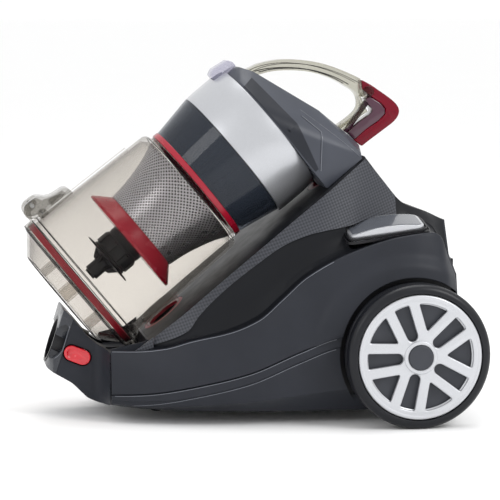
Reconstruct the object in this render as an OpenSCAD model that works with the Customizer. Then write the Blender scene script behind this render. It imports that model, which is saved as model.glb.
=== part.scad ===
// Bagless canister vacuum cleaner.
// Millimetres, +Z up, front towards -X, floor at z = 0, origin midway between the ends and the sides.

/* [Bin] */
// Angle of the bin's axis above the floor
bin_tilt = 39.5; // [39:0.5:40]
// Place of the bin's door seal, along X
bin_x = -159.5; // [-160:0.5:-159]
// Height of the bin's door seal above the floor
bin_z = 131; // [130:0.5:132]
// Outer radius of the bin at its door
bin_r = 75; // [74:0.5:76]
// Outer radius of the bin at its shoulder
shoulder_r = 70.5; // [70:0.5:71]
// Length of the bin from its door to its shoulder
bin_len = 140; // [139:0.5:141]
// Wall of every clear plastic piece
clear_wall = 2.4; // [2:0.1:2.6]
// Distance of the cradle's flat top below the bin's axis
cradle_drop = 77.5; // [77:0.5:78.5]

/* [Body] */
// Wall of the body's shells
wall = 2.6; // [2:0.1:3]
// Gap between pieces that move apart
gap = 0.4; // [0.3:0.1:0.5]

/* [Wheels] */
// Radius of the rear wheels over the tyre
wheel_r = 69.5; // [69:0.5:70]
// Distance of the wheels' axle behind the origin
wheel_x = 150; // [149:0.5:151]
// Distance of the hub caps from the middle plane
wheel_out = 155; // [154:0.5:156]
// Radius of the silver rim
rim_r = 60; // [59:0.5:61]
// Radius of each stub axle
axle_r = 5; // [4.5:0.1:5.5]
// Radius of the front castor's roller
roller_r = 11; // [10.5:0.1:11.5]

/* [Inlet] */
// Radius of the hose port
port_r = 20; // [19:0.5:20]
// Depth of the hose port
port_len = 29; // [27:1:29]
// Slope of the hose port below the horizontal
port_tilt = 28; // [27:0.5:29]

/* [Hidden] */
$fn = 64;
eps = 0.01;

// Colours
anthracite = [0.24, 0.25, 0.27];
weave_grey = [0.33, 0.34, 0.36];
lip_grey = [0.42, 0.43, 0.46];
dark = [0.10, 0.10, 0.11];
silver = [0.80, 0.81, 0.82];
crimson = [0.62, 0.06, 0.14];
button_red = [0.85, 0.12, 0.15];
clear = [0.85, 0.83, 0.78, 0.45];
metal = [0.6, 0.6, 0.62];

// ---- Curves ----
// A curve is a list of [x, value] points, read at any x by a smooth curve through them.
function piece_of(pts, x, i = 0) = (i >= len(pts) - 2 || x < pts[i + 1][0]) ? i : piece_of(pts, x, i + 1);
function chord(pts, i) = (pts[i + 1][1] - pts[i][1]) / (pts[i + 1][0] - pts[i][0]);
function slope_at(pts, i) =
  i == 0 ? chord(pts, 0)
  : i == len(pts) - 1 ? chord(pts, i - 1)
  : chord(pts, i - 1) * chord(pts, i) <= 0 ? 0
  : 2 * chord(pts, i - 1) * chord(pts, i) / (chord(pts, i - 1) + chord(pts, i));
function at(pts, x) =
  let (i = piece_of(pts, x), h = pts[i + 1][0] - pts[i][0], u = min(max((x - pts[i][0]) / h, 0), 1))
  pts[i][1] * (1 + 2 * u) * pow(1 - u, 2) + pts[i + 1][1] * u * u * (3 - 2 * u)
  + h * slope_at(pts, i) * u * pow(1 - u, 2) - h * slope_at(pts, i + 1) * u * u * (1 - u);
// A smooth outline through a list of points, with n steps for each stretch
function knot(pts, i) = pts[min(max(i, 0), len(pts) - 1)];
function smooth(pts, n) = concat(
  [for (i = [0:len(pts) - 2], k = [0:n - 1])
    let (u = k / n, a = knot(pts, i - 1), b = pts[i], c = pts[i + 1], d = knot(pts, i + 2))
    0.5 * (2 * b + (c - a) * u + (2 * a - 5 * b + 4 * c - d) * u * u + (3 * b - a - 3 * c + d) * pow(u, 3))],
  [pts[len(pts) - 1]]);
function arc(cx, cy, r, a0, a1, n) = [for (k = [0:n]) let (a = a0 + (a1 - a0) * k / n) [cx + r * cos(a), cy + r * sin(a)]];

// A point of the side view, given along (s) and across (t) the bin's axis
function bin_pt(s, t) = [bin_x + s * cos(bin_tilt) - t * sin(bin_tilt), bin_z + s * sin(bin_tilt) + t * cos(bin_tilt)];
// Height of the cradle's flat top
function cradle_z(x) = bin_z + ((x - bin_x) * sin(bin_tilt) - cradle_drop) / cos(bin_tilt);

// Side and plan curves of the body, as [x, z] or [x, half width]
front_x = -137;
rear_x = 196.5;
seam_curve = [[-160, 26], [-137, 27.5], [-102, 30.5], [-56, 39.5], [-8, 52], [40, 72.5], [78, 86], [120, 90],
  [196.5, 90]];
floor_curve = [[-160, 20], [-137, 15], [-102, 13], [-50, 12.5], [100, 12.5], [196.5, 18]];
shoulder_curve = [[-137, 70], [-110, 71.5], [-86, 75], [-62, 82.5], [-26, 91], [2, 103], [24, 122], [49, 144],
  [94, 167], [143, 181], [172, 184], [181, 180], [189, 160], [196.5, 142]];
seam_width = [[-160, 40], [-137, 72], [-100, 92], [-50, 109], [0, 118], [50, 122], [100, 123], [150, 122], [185, 116],
  [196.5, 106]];
shoulder_width = [[-137, 66], [-100, 85], [-50, 101], [0, 107], [50, 108], [150, 107], [180, 101], [196.5, 92]];
foot_curve = [[-137, 66], [-104, 74], [-64, 90], [-54, 104], [-30, 128], [2, 153], [32, 172.5], [60, 182], [94, 187],
  [125, 194], [155, 196], [180, 188], [196.5, 158]];
foot_width = [[-137, 58], [-104, 70], [-64, 85], [60, 85], [94, 80], [115, 68], [135, 60], [160, 54], [196.5, 60]];
ridge_width = [[-137, 50], [-104, 66], [-64, 76], [66, 74], [112, 60], [155, 46], [196.5, 40]];
arch_r = wheel_r + 3;
arch_edge = 108;
seat_z = 61;
seat_x = -99.5;
tower_x = bin_pt(290, -cradle_drop)[0];
tower_z = bin_pt(290, -cradle_drop)[1];
slope_curve = [[tower_x, tower_z], [134, 231], [156, 208], [180, 199], [196.5, 191]];
function ridge_z(x) = x < tower_x ? cradle_z(x) : at(slope_curve, x);
function arch_z(x) = abs(x - wheel_x) < arch_r ? wheel_r + sqrt(arch_r * arch_r - pow(x - wheel_x, 2)) : 0;
function fender_low(x) = max(at(seam_curve, x) + 0.6, arch_z(x));

// ---- Helpers ----
// Places children, drawn with +Z along the bin's axis and +X across it downwards, on the bin's axis
module on_bin_axis() { translate([bin_x, 0, bin_z]) rotate([0, 90 - bin_tilt, 0]) children(); }
// A turned piece on the bin's axis, from [radius, s] points
module turned(profile) { on_bin_axis() rotate_extrude() polygon(profile); }
// A slab across the machine, from an outline of [x, z] points
module slab(outline, y0, y1) { translate([0, y1, 0]) rotate([90, 0, 0]) linear_extrude(y1 - y0) polygon(outline); }
// The same from an outline of [s, t] points on the bin's axis
module bin_slab(outline, y0, y1) { slab([for (p = outline) bin_pt(p[0], p[1])], y0, y1); }
// The same for a flat shape centred at (s, t)
module bin_rod(s, t, y0, y1) { p = bin_pt(s, t); along_y(p[0], p[1], y0, y1) children(); }
// Places a piece drawn along +Z square to the cradle, at s, with its start this far below the cradle
module across_cradle(s, depth) { on_bin_axis() translate([cradle_drop + depth, 0, s]) rotate([0, 90, 0]) children(); }
module mirrored() { children(); mirror([0, 1, 0]) children(); }
// Places a piece drawn along +Z on the hose port's axis, with its mouth's centre at the origin
mouth_x = -188.8;
mouth_z = 74;
module on_port_axis() { translate([mouth_x, 0, mouth_z]) rotate([0, 90 + port_tilt, 0]) children(); }
// A shell between an outer and an inner sheet, each a list of rows of [x, y, z] points
module shell(outer, inner) {
  rows = len(outer);
  cols = len(outer[0]);
  points = concat([for (r = outer, p = r) p], [for (r = inner, p = r) p]);
  half = rows * cols;
  function o(i, j) = i * cols + j;
  function n(i, j) = half + i * cols + j;
  polyhedron(points, concat(
    [for (i = [0:rows - 2], j = [0:cols - 2]) [o(i, j), o(i + 1, j), o(i + 1, j + 1), o(i, j + 1)]],
    [for (i = [0:rows - 2], j = [0:cols - 2]) [n(i, j), n(i, j + 1), n(i + 1, j + 1), n(i + 1, j)]],
    [for (i = [0:rows - 2]) [o(i, 0), n(i, 0), n(i + 1, 0), o(i + 1, 0)]],
    [for (i = [0:rows - 2]) [o(i, cols - 1), o(i + 1, cols - 1), n(i + 1, cols - 1), n(i, cols - 1)]],
    [for (j = [0:cols - 2]) [o(0, j), o(0, j + 1), n(0, j + 1), n(0, j)]],
    [for (j = [0:cols - 2]) [o(rows - 1, j), n(rows - 1, j), n(rows - 1, j + 1), o(rows - 1, j + 1)]]));
}
function steps(a, b, n) = [for (i = [0:n]) a + (b - a) * i / n];
function swung(row) = concat(row, [for (i = [len(row) - 1:-1:0]) [row[i][0], -row[i][1], row[i][2]]]);
function tied(row, y_in, z_in) = [for (p = row) [p[0], p[1] - sign(p[1]) * y_in, p[2] + z_in]];

// ---- Body shells ----
// Half of the base's section, from its rim down to the floor's middle
function base_row(x, inset) = let (
  w = at(seam_width, x) - inset, z = at(seam_curve, x), low = at(floor_curve, x) + inset, hip = low + (z - low) * 0.45)
  swung([[x, -w, z], [x, -(w - 2), hip], [x, -(w - 12), low + 3], [x, -(w - 22), low]]);
base_xs = [front_x, -125, -112, -95, -75, -50, -20, 10, 40, 70, 100, 130, 160, 180, rear_x];
castor_x = -95;
module base_shell() {
  color(anthracite) difference() {
    shell([for (x = base_xs) base_row(x, 0)], [for (x = base_xs) base_row(x, wall)]);
    mirrored() translate([wheel_x, 160, wheel_r]) rotate([90, 0, 0]) cylinder(r = arch_r, h = 160 - arch_edge);
    translate([castor_x, 0, 0]) cylinder(r = 27, h = 24);
  }
}
// Half of the upper housing's section, from the fender's shoulder up to the cradle
function housing_row(x, inset) = let (
  sw = at(shoulder_width, x) - wall - 0.3 - inset, sz = at(shoulder_curve, x) - inset,
  fw = at(foot_width, x) - inset, fz = max(at(foot_curve, x), sz + 1) - inset, rw = min(at(ridge_width, x), fw - 1) - inset,
  rz = ridge_z(x) - inset)
  swung([[x, -sw, sz], [x, -(0.35 * sw + 0.65 * fw), 0.75 * sz + 0.25 * min(fz, rz)],
    [x, -fw, min(fz, rz)], [x, -rw, rz]]);
housing_xs = concat(steps(seat_x, 66, 14), steps(76, tower_x, 4), steps(122, rear_x, 9));
module pedal_place(side) { translate([128, side * 82.5, 192.5]) rotate([-side * 13, -7.5, 0]) children(); }
pedal_l = 74;
pedal_w = 36;
module pedal_hole(side, grow) {
  pedal_place(side) translate([-pedal_l / 2 - grow, -pedal_w / 2 - grow, -26]) cube([pedal_l + 2 * grow, pedal_w + 2 * grow, 46]);
}
inlet_s = 42;
outlet_s = 256;
module upper_housing() {
  color(anthracite) difference() {
    shell([for (x = housing_xs) housing_row(x, 0)], [for (x = housing_xs) housing_row(x, wall)]);
    for (side = [-1, 1]) pedal_hole(side, 0.8);
    for (s = [inlet_s, outlet_s]) across_cradle(s, -12) cylinder(r = 24.5, h = 30);
  }
}
// The seat in front of the cradle, its side walls, and the bulkhead behind it
module cradle_seat() {
  color(anthracite) difference() {
    union() {
      translate([front_x, -62, seat_z - wall]) cube([seat_x - 0.1 - front_x, 124, wall]);
      translate([seat_x - 2.5, -64, seat_z - wall]) cube([2.4, 128, cradle_z(seat_x) - seat_z + wall - 0.2]);
      for (y = [-62.6, 60]) slab([[front_x, seat_z - wall], [front_x, 71], [seat_x - 0.1, 79], [seat_x - 0.1, seat_z - wall]], y, y + wall);
    }
    // Room for the air duct
    for (x = [front_x - 1, seat_x - 5]) translate([x, -duct_half - 1, seat_z - 10]) cube([18, 2 * duct_half + 2, 18]);
  }
}
// One fender: a wall that leans inwards from the lower seam to the shoulder
fender_xs = concat(steps(front_x, 70, 16), [77, 77.6, 78.5, 80, 83, 88, 95, 104, 115, 130, 150, 165, 176, 184, 190, rear_x]);
function fender_row(x, inset) = let (lo = fender_low(x), hi = max(at(shoulder_curve, x), lo + 2))
  [for (f = [0, 0.25, 0.5, 0.75, 0.9, 1])
    [x, -(at(seam_width, x) + (at(shoulder_width, x) - at(seam_width, x)) * f * f - inset), lo + (hi - lo) * f]];
module fender_left() { color(anthracite) shell([for (x = fender_xs) fender_row(x, 0)], [for (x = fender_xs) fender_row(x, wall)]); }
module fender_right() { mirror([0, 1, 0]) fender_left(); }
// One textured panel: a thin skin on the housing's side
panel_xs = [for (x = housing_xs) if (x < 150) x];
function panel_row(x, out) = let (
  fw = at(foot_width, x), fz = at(foot_curve, x), rw = min(at(ridge_width, x), fw - 1), rz = ridge_z(x), lift = 1.0)
  [for (f = [0.05, 0.35, 0.65, 0.96]) [x, -(fw + (rw - fw) * f + lift + out), fz + (rz - fz) * f]];
module side_panel_left() {
  color(weave_grey) difference() {
    shell([for (x = panel_xs) panel_row(x, 1.2)], [for (x = panel_xs) panel_row(x, 0)]);
    pedal_hole(-1, 0.8);
  }
}
module side_panel_right() { mirror([0, 1, 0]) side_panel_left(); }

// ---- Nozzle ----
nozzle_side = [[-197.3, 49.3], [-190.3, 72], [-179.5, 107.5], bin_pt(-30, -14), bin_pt(-30, -44), [-146, 71.5],
  [front_x - 0.3, 68], [front_x - 0.3, 14.5], [-147, 15.2], [-157, 19.5], [-172, 34.5]];
nozzle_half = 34;
module nozzle_plan(inset) {
  front = [for (y = [-nozzle_half + inset:4:nozzle_half - inset]) [-199.3 + inset + y * y / 130, y]];
  back = front_x - 0.3;
  flare = [for (u = [0:11.25:80]) [min(-151.3 + (14 + inset) * sin(u), back), 66 - (32 + inset) * cos(u)]];
  polygon(concat([for (p = flare) [p[0], p[1]]], [[back, 66 - inset], [back, -66 + inset]],
    [for (i = [len(flare) - 1:-1:0]) [flare[i][0], -flare[i][1]]], front));
}
module nozzle_solid(inset) {
  intersection() {
    slab(nozzle_side, -80, 80);
    translate([0, 0, 5]) linear_extrude(120) nozzle_plan(inset);
  }
}
// The plane that parts the lighter collar from the housing, sloped as the mouth is
module collar_space(shift) { translate([-178 + shift, 0, 74]) rotate([0, 18.4, 0]) translate([-60, -60, -80]) cube([60, 120, 160]); }
module button_place(side) { translate([-167, side * (nozzle_half - 3), 62]) rotate([-90 * side, 0, 0]) rotate([0, 0, side * 22]) children(); }
module stadium(l, w, h) {
  linear_extrude(h) union() {
    square([l - w, w], center = true);
    for (e = [-1, 1]) translate([e * (l - w) / 2, 0]) circle(d = w);
  }
}
module nozzle_housing() {
  color(anthracite) difference() {
    nozzle_solid(0);
    collar_space(0.15);
    on_port_axis() translate([0, 0, -30]) cylinder(r = port_r + 3.2, h = 95);
    intersection() {
      translate([-174, -60, 22]) cube([40, 120, 60]);
      translate([0, 0, 5]) linear_extrude(120) nozzle_plan(wall);
      slab([[-180, 36], [-172, 37.5], [-157, 22.5], [-147, 18], [-130, 17.5], [-130, 63], [-146, 68], bin_pt(-33, -44)],
        -80, 80);
    }
    for (side = [-1, 1]) button_place(side) translate([0, 0, -12]) stadium(27.8, 15.8, 30);
  }
}
module inlet_collar() {
  color(lip_grey) difference() {
    intersection() { nozzle_solid(0); collar_space(-0.15); }
    on_port_axis() translate([0, 0, -40]) cylinder(r = port_r + 3.2, h = 95);
  }
}
module hose_socket() {
  color(dark) difference() {
    intersection() {
      on_port_axis() translate([0, 0, -22]) cylinder(r = port_r + 3, h = port_len + 22);
      translate([0, 0, 5]) linear_extrude(120) nozzle_plan(0.6);
      translate([-187, 0, 74]) rotate([0, 18.4, 0]) translate([-3, -60, -80]) cube([120, 120, 160]);
    }
    on_port_axis() translate([0, 0, -30]) cylinder(r = port_r, h = port_len + 40);
  }
}
module hose_button(side) {
  color(button_red) button_place(side) difference() {
    union() {
      stadium(27, 15, 5.5);
      translate([0, 0, -3]) stadium(27, 15, 3 + eps);
    }
    translate([-6, 0, 13]) sphere(r = 9);
  }
}

// ---- Air path under the bin ----
duct_half = 22;
duct_outer = [[-166.5, 37], [-156, 35.5], [-66, 35.5], [-50, 60], bin_pt(66, -81), bin_pt(18, -81), [-103, 57.5], [-122, 57],
  [-140, 61.5], [-151.5, 68.5]];
duct_inner = [[-170, 37], [-156, 38], [-68, 38], [-53, 61], bin_pt(63, -78), bin_pt(21, -78), [-100.5, 60], [-103, 54.5], [-122, 54],
  [-141, 58.6], [-158, 69.5]];
module inlet_duct() {
  color(dark) difference() {
    slab(duct_outer, -duct_half, duct_half);
    slab(duct_inner, -duct_half + wall, duct_half - wall);
    on_port_axis() translate([0, 0, -10]) cylinder(r = port_r + 3.3, h = port_len + 10.3);
  }
}
module cradle_seals() {
  color(crimson) for (s = [inlet_s, outlet_s]) across_cradle(s, 0.1) linear_extrude(3) ring(24, 18);
}

// ---- Motor ----
motor_x = 32;
motor_z = 98;
motor_r = 43;
module along_y(x, z, y0, y1) { translate([x, y1, z]) rotate([90, 0, 0]) linear_extrude(y1 - y0) children(); }
module ring(r_out, r_in) { difference() { circle(r = r_out); circle(r = r_in); } }
module motor_cover() {
  color(dark) difference() {
    along_y(motor_x, motor_z, -60, 60) circle(r = 52);
    // Two ribs inside hold the motor
    for (y = [[-57, -44], [-34, 34], [44, 57]]) along_y(motor_x, motor_z, y[0], y[1]) circle(r = 49.2);
    along_y(motor_x, motor_z, -50, 50) circle(r = motor_r + 0.1);
    along_y(motor_x, motor_z, 50, 70) circle(r = 22);
    translate([motor_x + 12, -20, motor_z + 30]) cube([30, 40, 40]);
  }
}
module motor_housing() {
  color(metal) difference() {
    along_y(motor_x, motor_z, -46, 46) circle(r = motor_r);
    along_y(motor_x, motor_z, -43.5, 43.5) circle(r = motor_r - 2);
    along_y(motor_x, motor_z, 40, 50) circle(r = 16);
    along_y(motor_x, motor_z, -50, -40) circle(r = 4.05);
    for (a = [45:90:315]) along_y(motor_x + 26 * cos(a), motor_z + 26 * sin(a), -50, -40) circle(r = 6);
  }
}
module motor_rotor() {
  color(metal) {
    along_y(motor_x, motor_z, -47, 39) circle(r = 4);
    along_y(motor_x, motor_z, -34, 8) ring(24, 4);
  }
}
module motor_fan() {
  color(silver) difference() {
    along_y(motor_x, motor_z, 18, 34) circle(r = 38);
    along_y(motor_x, motor_z, 17, 40) circle(r = 4);
    for (a = [0:40:320]) translate([motor_x, 32, motor_z]) rotate([90, a, 0]) translate([12, 0, 0]) cube([24, 5, 12]);
  }
}
module hepa_filter() { color([0.88, 0.88, 0.84]) translate([181, -58, 74]) cube([13, 116, 74]); }

// ---- Rear ----
cover_y = 64;
cover_z0 = 66;
cover_z1 = 154;
hinge_x = rear_x + 4.9;
module rear_panel() {
  edge = [[84, 18.2], [94, 21.2], [104, 50.4], [105.8, 90], [91.5, 142], [60, 158], [40, 190.6]];
  color(anthracite) {
    translate([rear_x + 0.2, 0, 0]) rotate([90, 0, 90]) linear_extrude(2) difference() {
      polygon(concat(edge, [for (i = [len(edge) - 1:-1:0]) [-edge[i][0], edge[i][1]]]));
      translate([-cover_y + 2, cover_z0 + 4]) square([2 * cover_y - 4, cover_z1 - cover_z0 - 8]);
      translate([0, 172]) circle(r = 5.1);
    }
    // Ears and pin for the exhaust cover
    mirrored() translate([rear_x + 2, cover_y + 0.4, cover_z0 - 3]) cube([5, 3.6, 6]);
    along_y(hinge_x, cover_z0, -cover_y - 4, cover_y + 4) circle(r = 1);
  }
}
module exhaust_cover() {
  color(dark) difference() {
    union() {
      translate([rear_x + 2.6, -cover_y, cover_z0]) cube([3, 2 * cover_y, cover_z1 - cover_z0]);
      along_y(hinge_x, cover_z0, -cover_y, cover_y) circle(r = 2.3);
    }
    for (z = [cover_z0 + 14:9:cover_z1 - 14], y = [-50:52:2]) translate([rear_x, y + 1, z]) cube([20, 46, 4]);
    along_y(hinge_x, cover_z0, -cover_y - 1, cover_y + 1) circle(r = 1.05);
  }
}
module reel_bracket() {
  color(metal) {
    for (y = [-29, 27]) along_y(132, 108, y, y + 2) difference() {
      union() { circle(r = 12); translate([-12, -88]) square([24, 88]); }
      circle(r = 5.95);
    }
    along_y(132, 108, -29, 29) circle(r = 5.95);
    translate([120, -27, 20]) cube([24, 54, 2]);
  }
}
module cord_reel() {
  color(dark) difference() {
    union() {
      for (y = [-25, 22.5]) along_y(132, 108, y, y + 2.5) circle(r = 45);
      along_y(132, 108, -23, 23) circle(r = 20);
    }
    along_y(132, 108, -30, 30) circle(r = 6);
  }
}
module cord_outlet() {
  color(dark) translate([rear_x - 2.1, 0, 172]) rotate([0, 90, 0]) difference() {
    union() { cylinder(r = 5, h = 7); translate([0, 0, 0.4]) cylinder(r = 7.5, h = 1.6); translate([0, 0, 4.4]) cylinder(r = 7.5, h = 2.5); }
    translate([0, 0, -1]) cylinder(r = 3.6, h = 12);
  }
}

// ---- Controls ----
module pedal_body() {
  difference() {
    intersection() {
      translate([0, 0, -9]) linear_extrude(30) union() {
        square([pedal_l - 16, pedal_w], center = true);
        square([pedal_l, pedal_w - 16], center = true);
        for (i = [-1, 1], j = [-1, 1]) translate([i * (pedal_l / 2 - 8), j * (pedal_w / 2 - 8)]) circle(r = 8);
      }
      translate([0, 40, -148.8]) rotate([90, 0, 0]) cylinder(r = 150, h = 80, $fn = 180);
    }
    translate([0, 0, -11]) linear_extrude(5.4) square([pedal_l - 5, pedal_w - 5], center = true);
  }
}
module power_pedal() { color(silver) pedal_place(-1) pedal_body(); }
module rewind_pedal() { color(silver) pedal_place(1) pedal_body(); }
// A coil spring's outer shape: a stack of rings joined by a thin sleeve
module pedal_spring(side) {
  color(metal) pedal_place(side) translate([8, 0, -17.9]) difference() {
    cylinder(r = 6, h = 12.2);
    translate([0, 0, -1]) cylinder(r = 4.6, h = 15);
  }
}
module power_spring() { pedal_spring(-1); }
module rewind_spring() { pedal_spring(1); }
module pedal_frame() {
  color(dark) {
    for (side = [-1, 1]) pedal_place(side) translate([-30, -15, -20.4]) cube([60, 30, 2.4]);
    translate([116, -68, 168.6]) cube([24, 136, 2.4]);
  }
}
module control_board() {
  color([0.05, 0.3, 0.15]) {
    translate([78, -40, 165]) cube([34, 80, 1.6]);
    translate([82, -30, 166.7]) cube([14, 12, 10]);
    translate([98, 8, 166.7]) cube([10, 16, 8]);
  }
}
// Self-tapping screws up through the base, each with a round head
module shell_screws() {
  color(metal) for (p = [[-60, 60], [-60, -60], [95, 70], [95, -70], [190, 60], [190, -60]]) {
    translate([p[0], p[1], at(floor_curve, p[0]) + wall + 0.4]) cylinder(r = 3.6, h = 2.4);
    translate([p[0], p[1], at(floor_curve, p[0]) + wall + 2.8]) cylinder(r = 1.8, h = 12);
  }
}

// ---- Wheels ----
module turned_wheel(side, profile) {
  translate([wheel_x, 0, wheel_r]) rotate([side * -90, 0, 0]) rotate_extrude($fn = 128) polygon(profile);
}
rim_y = wheel_out - 8;
tyre_profile = concat([[58, rim_y - 22], [66, rim_y - 22]], arc(65.5, rim_y - 18, 4, -60, 0, 4), arc(62.5, rim_y - 3, 7, 0, 90, 6),
  [[60.4, rim_y + 4], [60.4, rim_y - 3.5], [58, rim_y - 3.5]]);
module tyre(side) { color(dark) turned_wheel(side, tyre_profile); }
slot_out = 51.5;
slot_in = 22;
module rim_flat() {
  difference() {
    circle(r = rim_r, $fn = 128);
    circle(r = 12.2);
    for (k = [0:4]) rotate([0, 0, 183.5 + 72 * k]) {
      // Round-ended slot between the two spokes of a pair
      difference() {
        union() {
          translate([slot_in, 0]) circle(r = 5.2);
          polygon([[slot_in, -5.2], [slot_out + 4, -7.5], [slot_out + 4, 7.5], [slot_in, 5.2]]);
        }
        difference() { circle(r = 80); circle(r = slot_out); }
      }
      // Three-cornered window between two pairs
      rotate([0, 0, 36]) intersection() {
        circle(r = slot_out, $fn = 128);
        polygon([[24, 0], [70, -27], [70, 27]]);
      }
    }
  }
}
module rim(side) {
  color(silver) translate([wheel_x, 0, wheel_r]) rotate([side * -90, 0, 0]) {
    translate([0, 0, rim_y]) linear_extrude(4.5) rim_flat();
  }
}
module wheel_disc(side) {
  color([0.2, 0.2, 0.22]) turned_wheel(side, [[axle_r + 0.05, rim_y - 20], [12, rim_y - 20], [12, rim_y - 6.5], [57.8, rim_y - 6.5],
    [57.8, rim_y - 1.5], [12, rim_y - 1.5], [12, rim_y - 0.2], [axle_r + 0.05, rim_y - 0.2]]);
}
module hub_cap(side) {
  color([0.2, 0.2, 0.22]) turned_wheel(side, [[0, rim_y + 0.3], [12, rim_y + 0.3], [12, rim_y + 6.3], [10.8, rim_y + 7.4], [0, wheel_out]]);
}
module stub_axles() {
  color(metal) mirrored() {
    turned_wheel(-1, [[0, 96], [12, 96], [12, 98], [axle_r, 98], [axle_r, rim_y - 0.6], [0, rim_y - 0.6]]);
  }
}

module wheel_wells() {
  color(dark) mirrored() {
    intersection() {
      union() {
        translate([0, 100, 24]) cube([165, 8, 130]);
        translate([160, 100, 52]) cube([30, 8, 102]);
      }
      along_y(wheel_x, wheel_r, 103.6, 105.6) ring(arch_r + 2.2, axle_r + 0.3);
    }
    intersection() {
      translate([0, 100, 50]) cube([rear_x - 14, 30, 110]);
      along_y(wheel_x, wheel_r, 103.6, 109.5) ring(arch_r + 2.2, arch_r + 0.2);
    }
  }
}

// ---- Castor ----
module castor_socket() {
  color(dark) translate([castor_x, 0, 0]) difference() {
    union() {
      translate([0, 0, 26.4]) cylinder(r = 32, h = 2);
      translate([0, 0, 28.4]) cylinder(r = 9, h = 6.6);
      translate([0, 0, 17.3]) difference() { cylinder(r = 32, h = 9.2); translate([0, 0, -1]) cylinder(r = 29.5, h = 12); }
    }
    translate([0, 0, 20]) cylinder(r = 4.05, h = 30);
  }
}
fork_trail = 9;
module castor_fork() {
  color(metal) {
    translate([castor_x, 0, 23.6]) cylinder(r = 22, h = 2.4);
    translate([castor_x, 0, 26]) cylinder(r = 4, h = 8.4);
    mirrored() translate([castor_x + fork_trail - 5, 8.4, roller_r - 4]) cube([10, 2.2, 24 - roller_r + 4 - 0.4]);
    along_y(castor_x + fork_trail, roller_r, -8.4, 8.4) circle(r = 2);
  }
}
module castor_roller() {
  color(dark) along_y(castor_x + fork_trail, roller_r, -7.8, 7.8) ring(roller_r, 2.05);
}

// ---- Bin ----
function bin_wall_r(s) = bin_r + (shoulder_r - bin_r) * s / bin_len;
lug_t0 = 72;
module bin_cylinder() {
  color(clear) difference() {
    union() {
      turned(concat([[bin_r - clear_wall, 0.5], [bin_r + 2, 0.5], [bin_r + 2, 7], [bin_wall_r(9), 9]],
        arc(bin_wall_r(bin_len) - 7, bin_len - 4, 7, 0, 80, 6), [[62, bin_len + 5.5], [60, bin_len + 5.5]],
        [[60, bin_len + 0.5], [bin_wall_r(bin_len) - 9, bin_len], [bin_wall_r(bin_len) - clear_wall, bin_len - 6],
          [bin_r - clear_wall, 8]]));
      on_bin_axis() translate([bin_r - 8, 0, inlet_s]) rotate([0, 90, 0]) cylinder(r = 21, h = cradle_drop - bin_r + 7.8);
      bin_slab([[9, lug_t0], [19, lug_t0], [19, 78], [16, 80.5], [12, 80.5], [9, 78]], -5, 5);
      for (y = [-13, 7]) bin_slab([[1, -80], [5, -74.5], [12, -72.8], [5, -81.5], [1, -84], [-4, -84], [-4, -79]], y, y + 6);
    }
    on_bin_axis() translate([bin_r - 30, 0, inlet_s]) rotate([0, 90, 0]) cylinder(r = 17.5, h = 50);
    on_bin_axis() cylinder(r = bin_r - clear_wall, h = 34);
    bin_rod(14, 77.4, -10, 10) circle(r = 1.6);
    hinge_bore();
  }
}
hinge_s = -1;
hinge_t = -81.5;
module hinge_bore() { on_bin_axis() translate([-hinge_t, 0, hinge_s]) rotate([90, 0, 0]) cylinder(r = 1.55, h = 60, center = true); }
module bin_door() {
  color(clear) difference() {
    union() {
      turned([[0, -26], [53, -26], [73, -9], [78, -8.5], [78, -0.3], [75.2, -0.3], [75.2, -6], [71.5, -6.6], [51.8, -23.5], [8, -23.5],
        [8, -5], [6, -5], [6, -23.5], [0, -23.5]]);
      bin_slab([[-9, 74], [-4, 77], [-0.3, 77], [-0.3, 84], [5, 94], [10, 95.5], [16, 93.5], [17, 89], [12, 86], [6, 85.5], [3, 80],
        [-0.3, 70], [-6, 70]], -3.5, 3.5);
      bin_slab([[-8, -76], [-0.4, -76], [-0.4, -79], [2.2, -80], [2.2, -83], [-1, -84.8], [-5, -83.5], [-8, -79]], -6.6, 6.6);
    }
    hinge_bore();
    bin_rod(latch_s, latch_t, -10, 10) circle(r = 2.05);
    bin_slab([[0.2, 60], [40, 60], [40, 81], [8.4, 81], [2, 77.6], [0.2, 77.6]], -10, 10);
    turned([[72, -5.6], [75.2, -5.6], [75.2, 1], [72, 1]]);
  }
}
module door_seal() { color(crimson) turned([[72.2, -5.4], [75, -5.4], [75, 0.3], [72.2, 0.3]]); }
module door_hinge_pin() {
  color(metal) on_bin_axis() translate([-hinge_t, 0, hinge_s]) rotate([90, 0, 0]) cylinder(r = 1.5, h = 27, center = true);
}
latch_half = 22;
latch_s = 11;
latch_t = 90.6;
module door_latch() {
  color(clear) difference() {
    bin_slab([[11, 77.6], [6, 78.6], [1.5, 82], [-1, 86], [0.5, 91], [3, 94], [7, 95.4], [15, 95], [19, 94.2], [22, 92], [25.5, 88],
      [30, 85], [36, 83.8], [44, 83], [47.5, 81.5], [49.5, 78], [49.5, 68], [47, 64], [43, 60], [11, 60]], -latch_half, latch_half);
    on_bin_axis() cylinder(r = bin_r + 2.6, h = 90);
    on_bin_axis() translate([0, 0, -20]) cylinder(r = 78.4, h = 28.5);
    bin_slab([[-20, 60], [40, 60], [40, 80], [22, 86], [19, 91], [18.5, 100], [-20, 100]], -7.2, 7.2);
    mirrored() bin_slab([[24, 70], [44, 70], [44, 79], [26, 81]], 10, 19);
  }
  color(metal) bin_rod(latch_s, latch_t, -latch_half, latch_half) circle(r = 2);
}
module dust_cone() {
  color(dark) turned([[0, 10], [6, 10], [8, 12], [8, 30], [15, 33], [28, 33], [28, 34.6], [20.5, 35.5], [20.5, 57], [18, 60],
    [0, 60]]);
}
module shroud_skirt() {
  color(crimson) turned([[18.3, 60.3], [57.5, 60.3], [57.8, 63], [43, 77], [40.5, 77], [55, 62.8], [18.3, 62.8]]);
}
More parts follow.
